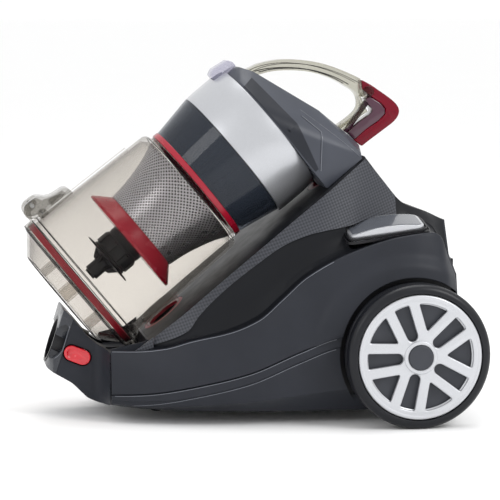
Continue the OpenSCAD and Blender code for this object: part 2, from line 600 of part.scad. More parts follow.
module shroud() {
  color(metal) turned([[43.2, 77.2], [44, 77.2], [50.6, 114], [60.5, 138.5], [60.5, 140], [58.8, 140], [49, 115], [42.2, 77.2]]);
}
// Small cyclones stand in a ring inside the shroud and open into the collector
module cyclone_body() {
  color([0.12, 0.13, 0.17]) {
    turned([[0, 152.2], [30, 152.2], [50, 154], [57.5, 192], [57.5, 194], [54.5, 194], [47, 156.5], [0, 156.5]]);
    for (a = [0:45:315]) on_bin_axis() rotate([0, 0, a]) translate([30, 0, 0]) rotate_extrude()
      polygon([[3, 84], [4.2, 84], [9.5, 128], [9.5, 140], [8.3, 140], [8.3, 128.4]]);
  }
}
module collector_ring() { color(crimson) turned([[52, 145.9], [64, 145.9], [64, 151.9], [52, 151.9]]); }
module upper_cone() {
  color(clear) turned([[59, 152.1], [63.3, 152.1], [71, 194.6], [68.6, 194.6], [61.2, 155], [59, 155]]);
}
ring_drop = 1.2;
module on_head_axis() { on_bin_axis() translate([ring_drop, 0, 0]) children(); }
module clip_pocket() { bin_slab([[226.4, 66], [253.4, 66], [253.4, 90], [226.4, 90]], -clip_half - 0.6, clip_half + 0.6); }
module silver_ring() {
  color(silver) difference() {
    on_head_axis() rotate_extrude($fn = 128) polygon([[69.6, 195], [72, 195], [72.6, 206], [72.6, 225], [71.6, 236], [70, 241], [67.6, 241]]);
    clip_pocket();
  }
  color(metal) bin_rod(clip_s, clip_t, -clip_half - 1.8, clip_half + 1.8) circle(r = 1.2);
}
// The faceted head: a disc, a back edge and a heel, wrapped together
module head_block(inset) {
  hull() {
    on_head_axis() translate([0, 0, 241.3 + inset]) cylinder(r = 69.4 - inset, h = 2, $fn = 48);
    bin_slab([[254, 64 - inset], [262 - inset, 51 - inset], [271 - inset, 18], [254, 18]], -24 + inset, 24 - inset);
    bin_slab([[286 - inset, -17], [294.5 - inset, -60], [295.5 - inset, -70], [290, -77.2 + inset], [262, -77.2 + inset]], -34 + inset, 34 - inset);
    bin_slab([[247 + inset, -20], [289 - inset, -72], [286 - inset, -77.2 + inset], [241.3 + inset, -77.2 + inset]], -62 + inset, 62 - inset);
  }
}
module head_cover() {
  color(anthracite) difference() {
    head_block(0);
    head_block(wall);
    across_cradle(outlet_s, -12) cylinder(r = 18, h = 30);
    clip_pocket();
  }
}
// The head's side outline in front of and below the handle, grown by a margin
module head_outline(grow) {
  bin_slab([[225, 68.4 + grow], [250, 68.4 + grow], [254 + grow, 64 + grow], [262 + grow, 51 + grow], [271 + grow, 18],
    [286 + grow, -17], [294.5 + grow, -60], [295.5 + grow, -70], [290, -90], [225, -90]], -20, 20);
}

// ---- Handle ----
handle_half = 13;
handle_top = [[-6, 337], [6, 339.5], [20, 345.5], [39.7, 349], [60, 348.4], [80, 345], [100.4, 338], [121, 328.5], [138, 318]];
corner_out = [[138, 318], [150, 309.6], [157, 302.5], [158.6, 295.5], [154, 287.6], [141.6, 278]];
post_out = [[141.6, 278], [129.3, 269], [118, 260]];
handle_under = [[97, 282.5], [105.7, 288.2], [116, 297], [119, 305], [115.8, 315.1], [105.6, 322.2], [90.3, 330.2], [70, 336.3],
  [49.8, 338.4], [29.6, 337.5], [12, 333]];
trigger_pivot = [127, 317];
trigger_outer = concat(smooth([[131, 322.2], [138, 318], [150, 309.6], [157, 302.5], [158.6, 295.5], [154, 287.6], [141.6, 278],
  [129.3, 269], [121, 262.6]], 4));
trigger_inner = [[113, 268.5], [125, 279], [138, 287.5], [144.5, 294], [145, 300], [140, 305.5], [129, 312.5], [124, 317]];
module at_trigger(y0, y1) { along_y(trigger_pivot[0], trigger_pivot[1], y0, y1) children(); }
module handle() {
  color(clear) difference() {
    slab(concat(smooth(handle_top, 4), smooth(corner_out, 4), smooth(post_out, 2), smooth(handle_under, 4)), -handle_half, handle_half);
    slab([[126, 326], [132, 323.5], [170, 330], [170, 250], [116, 250], [105.2, 266.2], [122, 281.5], [135, 290], [141, 295.5], [141.5, 299],
      [137.5, 303], [126, 309.5], [120.5, 318]], -handle_half - 1, handle_half + 1);
    slab([[60, 262], [93.6, 283], [98, 281], [124, 258], [110, 240]], -handle_half - 1, handle_half + 1);
    head_outline(0.5);
    slab([[124, 318], [137, 308], [110.5, 272.5], [97.5, 279.5]], -3.2, 3.2);
    // The front foot stops behind the release clip
    bin_slab([[220, 40], [253.8, 40], [253.8, 100], [220, 100]], -20, 20);
  }
  // Cheeks and pin for the trigger
  color(clear) {
    mirrored() at_trigger(11.4, handle_half) circle(r = 7.5);
    at_trigger(-handle_half, handle_half) circle(r = 1.5);
  }
}
// The trigger grip, with a rod that runs down to the release clip's linkage
module handle_trigger() {
  color(crimson) difference() {
    union() {
      slab(concat(trigger_outer, trigger_inner), -11, 11);
      slab([[129.5, 314.5], [134, 310.5], [107.8, 274.8], [103.6, 277.6]], -2.5, 2.5);
    }
    at_trigger(-12, 12) circle(r = 1.55);
    head_outline(1.8);
  }
}
clip_half = 15;
clip_s = 230.5;
clip_t = 68.2;
module release_clip() {
  color([0.85, 0.82, 0.9, 0.6]) difference() {
    bin_slab([[227, 66.4], [227.5, 75], [233, 77.8], [250, 75.6], [252.6, 71.5], [252.6, 66.4]], -clip_half, clip_half);
    bin_rod(clip_s, clip_t, -20, 20) circle(r = 1.25);
  }
}

base_shell();
upper_housing();
fender_left();
fender_right();
side_panel_left();
side_panel_right();
nozzle_housing();
inlet_collar();
hose_socket();
inlet_duct();
cradle_seals();
wheel_wells();
cradle_seat();
motor_cover();
motor_housing();
motor_rotor();
motor_fan();
hepa_filter();
rear_panel();
exhaust_cover();
reel_bracket();
cord_reel();
cord_outlet();
control_board();
pedal_frame();
power_pedal();
rewind_pedal();
power_spring();
rewind_spring();
hose_button(-1);  // hose_button_left
hose_button(1);  // hose_button_right
shell_screws();
stub_axles();
tyre(-1);  // tyre_left
rim(-1);  // rim_left
wheel_disc(-1);  // wheel_disc_left
hub_cap(-1);  // hub_cap_left
tyre(1);  // tyre_right
rim(1);  // rim_right
wheel_disc(1);  // wheel_disc_right
hub_cap(1);  // hub_cap_right
castor_socket();
castor_fork();
castor_roller();
bin_cylinder();
bin_door();
door_seal();
door_hinge_pin();
door_latch();
dust_cone();
shroud_skirt();
shroud();
collector_ring();
upper_cone();
cyclone_body();
silver_ring();
head_cover();
handle();
handle_trigger();
release_clip();
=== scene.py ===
"""A bagless canister vacuum cleaner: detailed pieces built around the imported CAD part.

Lengths are written in millimetres and turned into metres where a mesh is made. The frame is the
CAD's: +X to the rear, -Y the near side, +Z up, floor at z = 0.
"""
import math
from functools import partial

import bmesh
import bpy
from mathutils import Matrix, Vector
from mathutils.bvhtree import BVHTree


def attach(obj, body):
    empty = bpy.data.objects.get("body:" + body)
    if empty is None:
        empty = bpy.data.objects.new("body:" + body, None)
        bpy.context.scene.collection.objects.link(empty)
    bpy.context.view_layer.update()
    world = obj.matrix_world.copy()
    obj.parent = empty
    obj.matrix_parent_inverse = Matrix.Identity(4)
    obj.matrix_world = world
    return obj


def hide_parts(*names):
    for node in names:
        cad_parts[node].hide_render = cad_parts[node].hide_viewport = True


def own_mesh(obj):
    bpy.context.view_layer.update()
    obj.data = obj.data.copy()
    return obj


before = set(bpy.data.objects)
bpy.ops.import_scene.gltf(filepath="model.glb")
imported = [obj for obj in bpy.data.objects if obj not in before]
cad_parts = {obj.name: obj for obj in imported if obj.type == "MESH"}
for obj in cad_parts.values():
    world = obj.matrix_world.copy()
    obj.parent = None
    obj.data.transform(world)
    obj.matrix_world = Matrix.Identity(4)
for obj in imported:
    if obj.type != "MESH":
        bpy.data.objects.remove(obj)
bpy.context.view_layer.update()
MM = 0.001

# ---------------------------------------------------------------- sizes shared with the CAD
BIN_TILT = 39.5
BIN_X, BIN_Z = -159.5, 131.0
BIN_R, SHOULDER_R, BIN_LEN = 75.0, 70.5, 140.0
WALL = 2.6
CRADLE_DROP = 77.5
WHEEL_X, WHEEL_R = 150.0, 69.5
RIM_Y = 147.0
ARCH_R, ARCH_EDGE = 72.5, 108.0
FRONT_X, REAR_X = -137.0, 196.5
PEDAL_X, PEDAL_Y = 37.0, 18.0
CROWN_R, CROWN_DROP = 150.0, 148.8
SEAT_X = -99.5
INLET_S, OUTLET_S = 42.0, 256.0
HOLE_PITCH, HOLES_AROUND = 4.0, 76
PORT_TILT, PORT_R = 28.0, 20.0
MOUTH = (-188.8, 0.0, 74.0)

SEAM = [(-160, 26), (-137, 27.5), (-102, 30.5), (-56, 39.5), (-8, 52), (40, 72.5), (78, 86), (120, 90),
        (196.5, 90)]
FLOOR = [(-160, 20), (-137, 15), (-102, 13), (-50, 12.5), (100, 12.5), (196.5, 18)]
SHOULDER = [(-137, 70), (-110, 71.5), (-86, 75), (-62, 82.5), (-26, 91), (2, 103), (24, 122), (49, 144),
            (94, 167), (143, 181), (172, 184), (181, 180), (189, 160), (196.5, 142)]
SEAM_WIDTH = [(-160, 40), (-137, 72), (-100, 92), (-50, 109), (0, 118), (50, 122), (100, 123), (150, 122),
              (185, 116), (196.5, 106)]
SHOULDER_WIDTH = [(-137, 66), (-100, 85), (-50, 101), (0, 107), (50, 108), (150, 107), (180, 101),
                  (196.5, 92)]
FOOT = [(-137, 66), (-104, 74), (-64, 90), (-54, 104), (-30, 128), (2, 153), (32, 172.5), (60, 182),
        (94, 187), (125, 194), (155, 196), (180, 188), (196.5, 158)]
FOOT_WIDTH = [(-137, 58), (-104, 70), (-64, 85), (60, 85), (94, 80), (115, 68), (135, 60), (160, 54),
              (196.5, 60)]
RIDGE_WIDTH = [(-137, 50), (-104, 66), (-64, 76), (66, 74), (112, 60), (155, 46), (196.5, 40)]


# ---------------------------------------------------------------- curves
def slopes(points):
    """The slope at each point of a curve that never overshoots its points."""
    chords = [(b[1] - a[1]) / (b[0] - a[0]) for a, b in zip(points, points[1:])]
    found = [chords[0]]
    for before, after in zip(chords, chords[1:]):
        found.append(0.0 if before * after <= 0 else 2 * before * after / (before + after))
    return found + [chords[-1]]


def at(points, x):
    """The smooth curve through the points, read at x."""
    i = 0
    while i < len(points) - 2 and x >= points[i + 1][0]:
        i += 1
    (xa, ya), (xb, yb) = points[i], points[i + 1]
    slope = slopes(points)
    h = xb - xa
    u = min(max((x - xa) / h, 0.0), 1.0)
    v = 1 - u
    return (ya * (1 + 2 * u) * v * v + yb * u * u * (3 - 2 * u)
            + h * slope[i] * u * v * v - h * slope[i + 1] * u * u * v)


def smooth(points, n):
    """A smooth outline through the points, with n steps for each stretch."""
    out = []
    for i in range(len(points) - 1):
        a, b, c, d = (points[min(max(k, 0), len(points) - 1)] for k in (i - 1, i, i + 1, i + 2))
        for k in range(n):
            u = k / n
            out.append(tuple(
                0.5 * (2 * q + (r - p) * u + (2 * p - 5 * q + 4 * r - s) * u * u
                       + (3 * q - p - 3 * r + s) * u ** 3)
                for p, q, r, s in zip(a, b, c, d)))
    return out + [tuple(points[-1])]


def arc(cx, cy, r, a0, a1, n):
    """Points on an arc from a0 to a1 degrees, in n steps."""
    angles = [math.radians(a0 + (a1 - a0) * k / n) for k in range(n + 1)]
    return [(cx + r * math.cos(a), cy + r * math.sin(a)) for a in angles]


def polar(r, degrees):
    return r * math.cos(math.radians(degrees)), r * math.sin(math.radians(degrees))


def rect(x0, y0, x1, y1):
    return [(x0, y0), (x1, y0), (x1, y1), (x0, y1)]


def centred(half_x, half_y):
    """A rectangle about the origin."""
    return rect(-half_x, -half_y, half_x, half_y)


def rounded(points, r, n=4):
    """A closed outline with its corners rounded to about r."""
    out = []
    for i, corner in enumerate(points):
        before, after = Vector(points[i - 1]), Vector(points[(i + 1) % len(points)])
        c = Vector(corner)
        cut = min(r, (before - c).length * 0.45, (after - c).length * 0.45)
        a = c + (before - c).normalized() * cut
        b = c + (after - c).normalized() * cut
        for k in range(n + 1):
            u = k / n
            out.append(tuple(a * (1 - u) ** 2 + c * 2 * u * (1 - u) + b * u * u))
    return out


def bin_pt(s, t):
    """A point of the side view, given along and across the bin's axis."""
    a = math.radians(BIN_TILT)
    return (BIN_X + s * math.cos(a) - t * math.sin(a), BIN_Z + s * math.sin(a) + t * math.cos(a))


def bin_outline(points):
    return [bin_pt(s, t) for s, t in points]


def cradle_z(x):
    a = math.radians(BIN_TILT)
    return BIN_Z + ((x - BIN_X) * math.sin(a) - CRADLE_DROP) / math.cos(a)


TOWER_X, TOWER_Z = bin_pt(290, -CRADLE_DROP)
SLOPE = [(TOWER_X, TOWER_Z), (134, 231), (156, 208), (180, 199), (196.5, 191)]


def ridge_z(x):
    return cradle_z(x) if x < TOWER_X else at(SLOPE, x)


def arch_z(x):
    reach = ARCH_R ** 2 - (x - WHEEL_X) ** 2
    return WHEEL_R + math.sqrt(reach) if reach > 0 else 0.0


def steps(a, b, n):
    return [a + (b - a) * i / n for i in range(n + 1)]


# ---------------------------------------------------------------- places
def turn(axis, degrees):
    return Matrix.Rotation(math.radians(degrees), 4, axis)


def move(x, y, z):
    return Matrix.Translation((x, y, z))


ON_BIN = move(BIN_X, 0, BIN_Z) @ turn("Y", 90 - BIN_TILT)
ON_PORT = move(*MOUTH) @ turn("Y", 90 + PORT_TILT)
# Stands an [x, z] outline up, so that it is drawn towards -Y
FLAT = Matrix(((1, 0, 0, 0), (0, 0, -1, 0), (0, 1, 0, 0), (0, 0, 0, 1)))
MIRROR = Matrix.Scale(-1, 4, (0, 1, 0))
BOTH = (("left", Matrix.Identity(4)), ("right", MIRROR))


def wheel_place(side):
    return move(WHEEL_X, 0, WHEEL_R) @ turn("X", -90 * side)


def pedal_place(side):
    return move(128, side * 82.5, 192.5) @ turn("Y", -7.5) @ turn("X", -13 * side)


def button_place(side):
    return move(-167, side * 31, 62) @ turn("X", -90 * side) @ turn("Z", 22 * side)


def port_place(out, s):
    """Out from the bin's axis towards the cradle, at a distance along it."""
    return ON_BIN @ move(out, 0, s) @ turn("Y", 90)


# ---------------------------------------------------------------- meshes
def lathe(profile, n=96):
    """A closed ring of [radius, height] points, turned about +Z. A point on the axis is one vertex."""
    verts, faces, index = [], [], []
    for r, h in profile:
        if r < 1e-6:
            index.append([len(verts)] * n)
            verts.append((0, 0, h))
        else:
            index.append(list(range(len(verts), len(verts) + n)))
            verts += [(r * math.cos(2 * math.pi * k / n), r * math.sin(2 * math.pi * k / n), h)
                      for k in range(n)]
    for i, ring in enumerate(index):
        other = index[(i + 1) % len(index)]
        for k in range(n):
            m = (k + 1) % n
            corners = [ring[k], ring[m], other[m], other[k]]
            corners = [c for j, c in enumerate(corners) if c != corners[j - 1]]
            if len(corners) > 2:
                faces.append(corners)
    return verts, faces


def prism(outline, h0, h1):
    """An outline drawn up from h0 to h1."""
    n = len(outline)
    verts = [(x, y, h0) for x, y in outline] + [(x, y, h1) for x, y in outline]
    faces = [list(range(n))[::-1], list(range(n, 2 * n))]
    faces += [[k, (k + 1) % n, n + (k + 1) % n, n + k] for k in range(n)]
    return verts, faces


def slab(outline, y0, y1):
    """A side-view outline drawn across the machine from y0 to y1."""
    verts, faces = prism(outline, -y1, -y0)
    return [tuple(FLAT @ Vector(v)) for v in verts], faces


def ring_of(outline, thick, top):
    """A flat band along a closed outline."""
    centre = Vector((sum(x for x, _ in outline), sum(y for _, y in outline))) / len(outline)
    inner = [tuple(Vector(p) - (Vector(p) - centre).normalized() * thick) for p in outline]
    n = len(outline)
    verts = [(x, y, h) for h in (top - 2.4, top) for loop in (outline, inner) for x, y in loop]
    faces = []
    for k in range(n):
        m = (k + 1) % n
        faces += [[k, m, 2 * n + m, 2 * n + k], [n + k, 3 * n + k, 3 * n + m, n + m],
                  [2 * n + k, 2 * n + m, 3 * n + m, 3 * n + k], [k, n + k, n + m, m]]
    return verts, faces


def coil(radius, wire, height, turns, n=28):
    """A coil spring standing on the XY plane."""
    last = turns * n
    verts = []
    for k in range(last + 1):
        a = 2 * math.pi * k / n
        for t in steps(0, 7 * math.pi / 4, 7):
            r = radius + wire * math.cos(t)
            verts.append((r * math.cos(a), r * math.sin(a),
                          wire * (1 + math.sin(t)) + (height - 2 * wire) * k / last))
    faces = [[8 * k + j, 8 * k + 8 + j, 8 * k + 8 + (j + 1) % 8, 8 * k + (j + 1) % 8]
             for k in range(last) for j in range(8)]
    return verts, faces + [list(range(8)), [8 * last + j for j in range(8)][::-1]]


def sheet(outer, inner):
    """A solid skin between two grids of points."""
    rows, cols = len(outer), len(outer[0])
    verts = [p for row in outer for p in row] + [p for row in inner for p in row]
    half = rows * cols
    faces = []
    for i in range(rows - 1):
        for j in range(cols - 1):
            a, b = i * cols + j, (i + 1) * cols + j
            faces += [[a, b, b + 1, a + 1], [half + a, half + a + 1, half + b + 1, half + b]]
    for i in range(rows - 1):
        for j in (0, cols - 1):
            a, b = i * cols + j, (i + 1) * cols + j
            faces.append([a, half + a, half + b, b])
    for j in range(cols - 1):
        for i in (0, rows - 1):
            a = i * cols + j
            faces.append([a, a + 1, half + a + 1, half + a])
    return verts, faces


def added(name, data):
    """A new object in the scene."""
    obj = bpy.data.objects.new(name, data)
    bpy.context.scene.collection.objects.link(obj)
    return obj


def evaluated(obj):
    """The object's mesh with its modifiers applied."""
    return bpy.data.meshes.new_from_object(obj.evaluated_get(bpy.context.evaluated_depsgraph_get()))


def shape_of(mesh, unit=1.0):
    """A mesh as points, in the given unit, and faces."""
    return [tuple(v.co / unit) for v in mesh.vertices], [list(p.vertices) for p in mesh.polygons]


def cut_with(obj, cutter, operation="DIFFERENCE"):
    """A boolean modifier."""
    boolean = obj.modifiers.new("cut", "BOOLEAN")
    boolean.operation = operation
    boolean.solver = "EXACT"
    boolean.object = cutter


def plate(outline, holes, thick, edge, place):
    """A flat plate with holes and rounded edges, as a mesh: its base lies on the place's XY plane."""
    curve = bpy.data.curves.new("plate", "CURVE")
    curve.dimensions = "2D"
    curve.fill_mode = "BOTH"
    curve.extrude = thick / 2 - edge
    curve.bevel_depth = edge
    curve.bevel_resolution = 2
    curve.offset = -edge
    for loop in [outline] + holes:
        spline = curve.splines.new("POLY")
        spline.points.add(len(loop) - 1)
        for point, (x, y) in zip(spline.points, loop):
            point.co = (x, y, 0, 1)
        spline.use_cyclic_u = True
    holder = added("plate", curve)
    mesh = evaluated(holder)
    bpy.data.objects.remove(holder)
    mesh.transform(place @ move(0, 0, thick / 2))
    shape = shape_of(mesh)
    bpy.data.meshes.remove(mesh)
    return shape


def port_room(r, s):
    """The round space of a cradle port."""
    return placed(lathe(rect(0, 0, r, 30), 64), port_place(CRADLE_DROP - 12, s))


def placed(shape, matrix):
    verts, faces = shape
    if matrix.determinant() < 0:
        faces = [list(f)[::-1] for f in faces]
    return [tuple(matrix @ Vector(v)) for v in verts], faces


def joined(*shapes):
    verts, faces = [], []
    for more_verts, more_faces in shapes:
        start = len(verts)
        verts += list(more_verts)
        faces += [[start + i for i in f] for f in more_faces]
    return verts, faces


def solid(name, shape, bevel=0.0, segments=2, angle=30, cuts=()):
    """A mesh object from a shape in millimetres, with its cuts and rounded edges applied."""
    mesh = bpy.data.meshes.new(name)
    mesh.from_pydata([tuple(c * MM for c in v) for v in shape[0]], [], shape[1])
    bm = bmesh.new()
    bm.from_mesh(mesh)
    bmesh.ops.remove_doubles(bm, verts=bm.verts, dist=1e-6)
    bmesh.ops.recalc_face_normals(bm, faces=bm.faces)
    bm.to_mesh(mesh)
    bm.free()
    obj = added(name, mesh)
    cutters = [solid(f"{name}_cut{i}", cut) for i, cut in enumerate(cuts)]
    for cutter in cutters:
        cut_with(obj, cutter)
    if bevel:
        rounding = obj.modifiers.new("edges", "BEVEL")
        rounding.width = bevel * MM
        rounding.segments = segments
        rounding.limit_method = "ANGLE"
        rounding.angle_limit = math.radians(angle)
    if obj.modifiers:
        bpy.context.view_layer.update()
        made = evaluated(obj)
        obj.modifiers.clear()
        obj.data = made
        bpy.data.meshes.remove(mesh)
    for cutter in cutters:
        bpy.data.objects.remove(cutter)
    obj.data.name = name
    return obj


def piece(name, shape, material, body, replaces=(), sharp=38, **how):
    """A finished piece: shaded, given its material and tied to its body and CAD nodes."""
    obj = solid(name, shape, **how)
    obj.data.polygons.foreach_set("use_smooth", [True] * len(obj.data.polygons))
    obj.data.set_sharp_from_angle(angle=math.radians(sharp))
    obj.data.materials.clear()
    obj.data.materials.append(material)
    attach(obj, body)
    if replaces:
        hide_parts(*replaces)
    return obj


def surface(obj):
    """A reader of the object's near side: it gives y in millimetres at a side-view point, or None."""
    tree = BVHTree.FromPolygons([v.co / MM for v in obj.data.vertices],
                                [p.vertices for p in obj.data.polygons])

    def read(x, z):
        hit = tree.ray_cast(Vector((x, -300, z)), Vector((0, 1, 0)))[0]
        return None if hit is None else hit.y
    return read


def bead(read, path, width=0.9, lift=0.45, step=2.0):
    """A fine raised line that follows a side-view path over a surface."""
    points = [Vector(path[0])]
    for a, b in zip(path, path[1:]):
        a, b = Vector(a), Vector(b)
        n = max(1, round((b - a).length / step))
        points += [a.lerp(b, k / n) for k in range(1, n + 1)]
    outer, inner = [], []
    for i, point in enumerate(points):
        along = (points[min(i + 1, len(points) - 1)] - points[max(i - 1, 0)]).normalized()
        side = Vector((-along.y, along.x)) * width / 2
        ends = [point - side, point + side]
        depth = [read(*end) for end in ends]
        if None in depth:
            continue
        outer.append([(e.x, d - lift, e.y) for e, d in zip(ends, depth)])
        inner.append([(e.x, d + 0.4, e.y) for e, d in zip(ends, depth)])
    return sheet(outer, inner)


def patch(read, corners, lift=0.6, n=14):
    """A four-cornered raised panel over a surface. Corners are side-view points, in order."""
    a, b, c, d = (Vector(p) for p in corners)
    grid = [[a.lerp(b, i / n).lerp(d.lerp(c, i / n), j / n) for j in range(n + 1)] for i in range(n + 1)]
    outer = [[(p.x, read(p.x, p.y) - lift, p.y) for p in row] for row in grid]
    inner = [[(p.x, read(p.x, p.y) + 0.4, p.y) for p in row] for row in grid]
    return sheet(outer, inner)


# ---------------------------------------------------------------- materials
def shader(name, slot, color, roughness, metallic=0.0, **sockets):
    """A material with one Principled shader. Returns it, its node tree and the shader."""
    mat = bpy.data.materials.new(name)
    mat.use_nodes = True
    mat["slot"] = slot
    tree = mat.node_tree
    principled = tree.nodes["Principled BSDF"]
    principled.inputs["Base Color"].default_value = (*color, 1)
    principled.inputs["Roughness"].default_value = roughness
    principled.inputs["Metallic"].default_value = metallic
    for socket, value in sockets.items():
        principled.inputs[socket.replace("_", " ")].default_value = value
    return mat, tree, principled


def node(tree, kind, **values):
    """A node with its properties, and its inputs given as a dictionary."""
    made = tree.nodes.new(kind)
    for key, value in values.pop("inputs", {}).items():
        made.inputs[key].default_value = value
    for key, value in values.items():
        setattr(made, key, value)
    return made


def math_node(tree, operation, a, b=None):
    """The output of a maths node on values or sockets."""
    made = tree.nodes.new("ShaderNodeMath")
    made.operation = operation
    for socket, value in zip(made.inputs, (a, b)):
        if value is None:
            continue
        if isinstance(value, (int, float)):
            socket.default_value = value
        else:
            tree.links.new(value, socket)
    return made.outputs[0]


def noise(tree, scale, detail=2.0, stretch=None):
    """Noise in the row frame, in features per metre."""
    place = node(tree, "ShaderNodeTexCoord").outputs["Object"]
    if stretch:
        mapping = node(tree, "ShaderNodeMapping")
        mapping.inputs["Scale"].default_value = stretch
        tree.links.new(place, mapping.inputs["Vector"])
        place = mapping.outputs[0]
    texture = node(tree, "ShaderNodeTexNoise", inputs={"Scale": scale, "Detail": detail})
    tree.links.new(place, texture.inputs["Vector"])
    return texture.outputs["Fac"]


def spread(tree, value, low, high):
    """A 0 to 1 value spread over low to high."""
    made = node(tree, "ShaderNodeMapRange",
                inputs={"From Min": 0.3, "From Max": 0.7, "To Min": low, "To Max": high})
    tree.links.new(value, made.inputs["Value"])
    return made.outputs[0]


def tinted(tree, value, dark, light):
    """A colour between two, by a 0 to 1 value."""
    made = node(tree, "ShaderNodeMix", data_type="RGBA")
    for socket in made.inputs:
        if socket.name == "A" and socket.type == "RGBA":
            socket.default_value = (*dark, 1)
        if socket.name == "B" and socket.type == "RGBA":
            socket.default_value = (*light, 1)
    tree.links.new(value, made.inputs["Factor"])
    return [o for o in made.outputs if o.type == "RGBA"][0]


def bumped(tree, principled, height, depth_mm, strength=1.0):
    bump = node(tree, "ShaderNodeBump", inputs={"Strength": strength, "Distance": depth_mm * MM})
    tree.links.new(height, bump.inputs["Height"])
    tree.links.new(bump.outputs[0], principled.inputs["Normal"])


def painted(tree, principled, value, dark, light):
    """A base colour between two, by a 0 to 1 value."""
    tree.links.new(tinted(tree, value, dark, light), principled.inputs["Base Color"])


def glossed(tree, principled, value, low, high):
    """A roughness between two, by a noise value."""
    tree.links.new(spread(tree, value, low, high), principled.inputs["Roughness"])


def scaled(color, factor):
    return [c * factor for c in color]


def moulded(name, slot, color, roughness, grain=0.02, **sockets):
    """Moulded plastic: slow changes of colour and gloss, and a fine spark-eroded grain."""
    mat, tree, principled = shader(name, slot, color, roughness, **sockets)
    slow = spread(tree, noise(tree, 22, 3), 0, 1)
    painted(tree, principled, slow, scaled(color, 0.9), scaled(color, 1.1))
    glossed(tree, principled, noise(tree, 60, 4), roughness - 0.05, roughness + 0.05)
    if grain:
        bumped(tree, principled, noise(tree, 2600, 1), grain)
    return mat


def woven(name, slot, dark, light, pitch=5.6):
    """A moulded weave: rows of small lozenges that lean along the side."""
    mat, tree, principled = shader(name, slot, light, 0.45, Specular_IOR_Level=0.35)
    place = node(tree, "ShaderNodeSeparateXYZ")
    tree.links.new(node(tree, "ShaderNodeTexCoord").outputs["Object"], place.inputs[0])
    x, z = place.outputs["X"], place.outputs["Z"]
    cos, sin = polar(2 * math.pi / (pitch * MM), 20)
    calc = partial(math_node, tree)
    along = calc("ADD", calc("MULTIPLY", x, cos), calc("MULTIPLY", z, sin))
    across = calc("ADD", calc("MULTIPLY", x, -sin), calc("MULTIPLY", z, cos))
    one = calc("SINE", calc("ADD", along, across))
    two = calc("SINE", calc("SUBTRACT", along, across))
    cell = calc("MULTIPLY_ADD", calc("MULTIPLY", one, two), 0.5)
    cell.node.inputs[2].default_value = 0.5
    painted(tree, principled, cell, dark, light)
    glossed(tree, principled, noise(tree, 90, 3), 0.38, 0.5)
    bumped(tree, principled, cell, 0.25, 0.8)
    return mat


def painted_silver(name, slot, color, roughness=0.32):
    """Silver lacquer over plastic: fine flakes under a smooth coat."""
    mat, tree, principled = shader(name, slot, color, roughness, metallic=0.7, Coat_Weight=0.35,
                                   Coat_Roughness=0.08)
    flakes = noise(tree, 5200, 0)
    painted(tree, principled, spread(tree, flakes, 0, 1), scaled(color, 0.86), scaled(color, 1.08))
    glossed(tree, principled, noise(tree, 40, 3), roughness - 0.04, roughness + 0.05)
    bumped(tree, principled, flakes, 0.008)
    return mat


def clear_plastic(name, slot, tint, edge, least=0.07, most=0.75, roughness=0.04):
    """Clear plastic wall: mostly see-through face on, darker and shinier where it turns away."""
    mat, tree, principled = shader(name, slot, edge, roughness, Coat_Weight=0.2, Coat_Roughness=0.02,
                                   IOR=1.45, Specular_IOR_Level=0.35)
    see = node(tree, "ShaderNodeBsdfTransparent", inputs={"Color": (*tint, 1)})
    weight = node(tree, "ShaderNodeLayerWeight", inputs={"Blend": 0.35})
    steep = math_node(tree, "POWER", weight.outputs["Facing"], 3.2)
    share = math_node(tree, "MULTIPLY_ADD", steep, most - least)
    share.node.inputs[2].default_value = least
    swirl = spread(tree, noise(tree, 30, 2), 0.94, 1.06)
    share = math_node(tree, "MULTIPLY", share, swirl)
    mix = node(tree, "ShaderNodeMixShader")
    tree.links.new(share, mix.inputs[0])
    tree.links.new(see.outputs[0], mix.inputs[1])
    tree.links.new(principled.outputs[0], mix.inputs[2])
    tree.links.new(mix.outputs[0], tree.nodes["Material Output"].inputs["Surface"])
    bumped(tree, principled, noise(tree, 45, 1), 0.02, 0.4)
    return mat


def perforated(name, slot, metal, pitch=HOLE_PITCH, hole=0.21):
    """Sheet metal with staggered round holes, laid out by the mesh's UVs, which are in millimetres."""
    mat, tree, principled = shader(name, slot, metal, 0.3, metallic=0.9)
    uv = node(tree, "ShaderNodeSeparateXYZ")
    tree.links.new(node(tree, "ShaderNodeUVMap", uv_map="mm").outputs[0], uv.inputs[0])
    calc = partial(math_node, tree)
    distances = []
    for shift in (0.0, 0.5):
        squares = []
        for along in uv.outputs[:2]:
            part = calc("FRACT", calc("ADD", calc("DIVIDE", along, pitch), shift))
            squares.append(calc("POWER", calc("ABSOLUTE", calc("SUBTRACT", part, 0.5)), 2))
        distances.append(calc("SQRT", calc("ADD", *squares)))
    near = calc("MINIMUM", *distances)
    solid_share = node(tree, "ShaderNodeMapRange", interpolation_type="SMOOTHSTEP",
                       inputs={"From Min": hole - 0.05, "From Max": hole + 0.05})
    tree.links.new(near, solid_share.inputs["Value"])
    sheet_share = solid_share.outputs[0]
    # The holes are drawn in near-black: painted shade for the dark inside seen through them.
    painted(tree, principled, sheet_share, (0.006, 0.006, 0.007), metal)
    tree.links.new(calc("MULTIPLY", sheet_share, 0.9), principled.inputs["Metallic"])
    glossed(tree, principled, noise(tree, 120, 3), 0.24, 0.38)
    bumped(tree, principled, sheet_share, 0.5)
    return mat


def brushed(name, slot, color, roughness=0.3):
    """Bare metal with fine lines."""
    mat, tree, principled = shader(name, slot, color, roughness, metallic=1.0)
    lines = noise(tree, 400, 2, (1, 8, 1))
    glossed(tree, principled, lines, roughness - 0.08, roughness + 0.1)
    painted(tree, principled, lines, scaled(color, 0.85), color)
    bumped(tree, principled, lines, 0.01)
    return mat


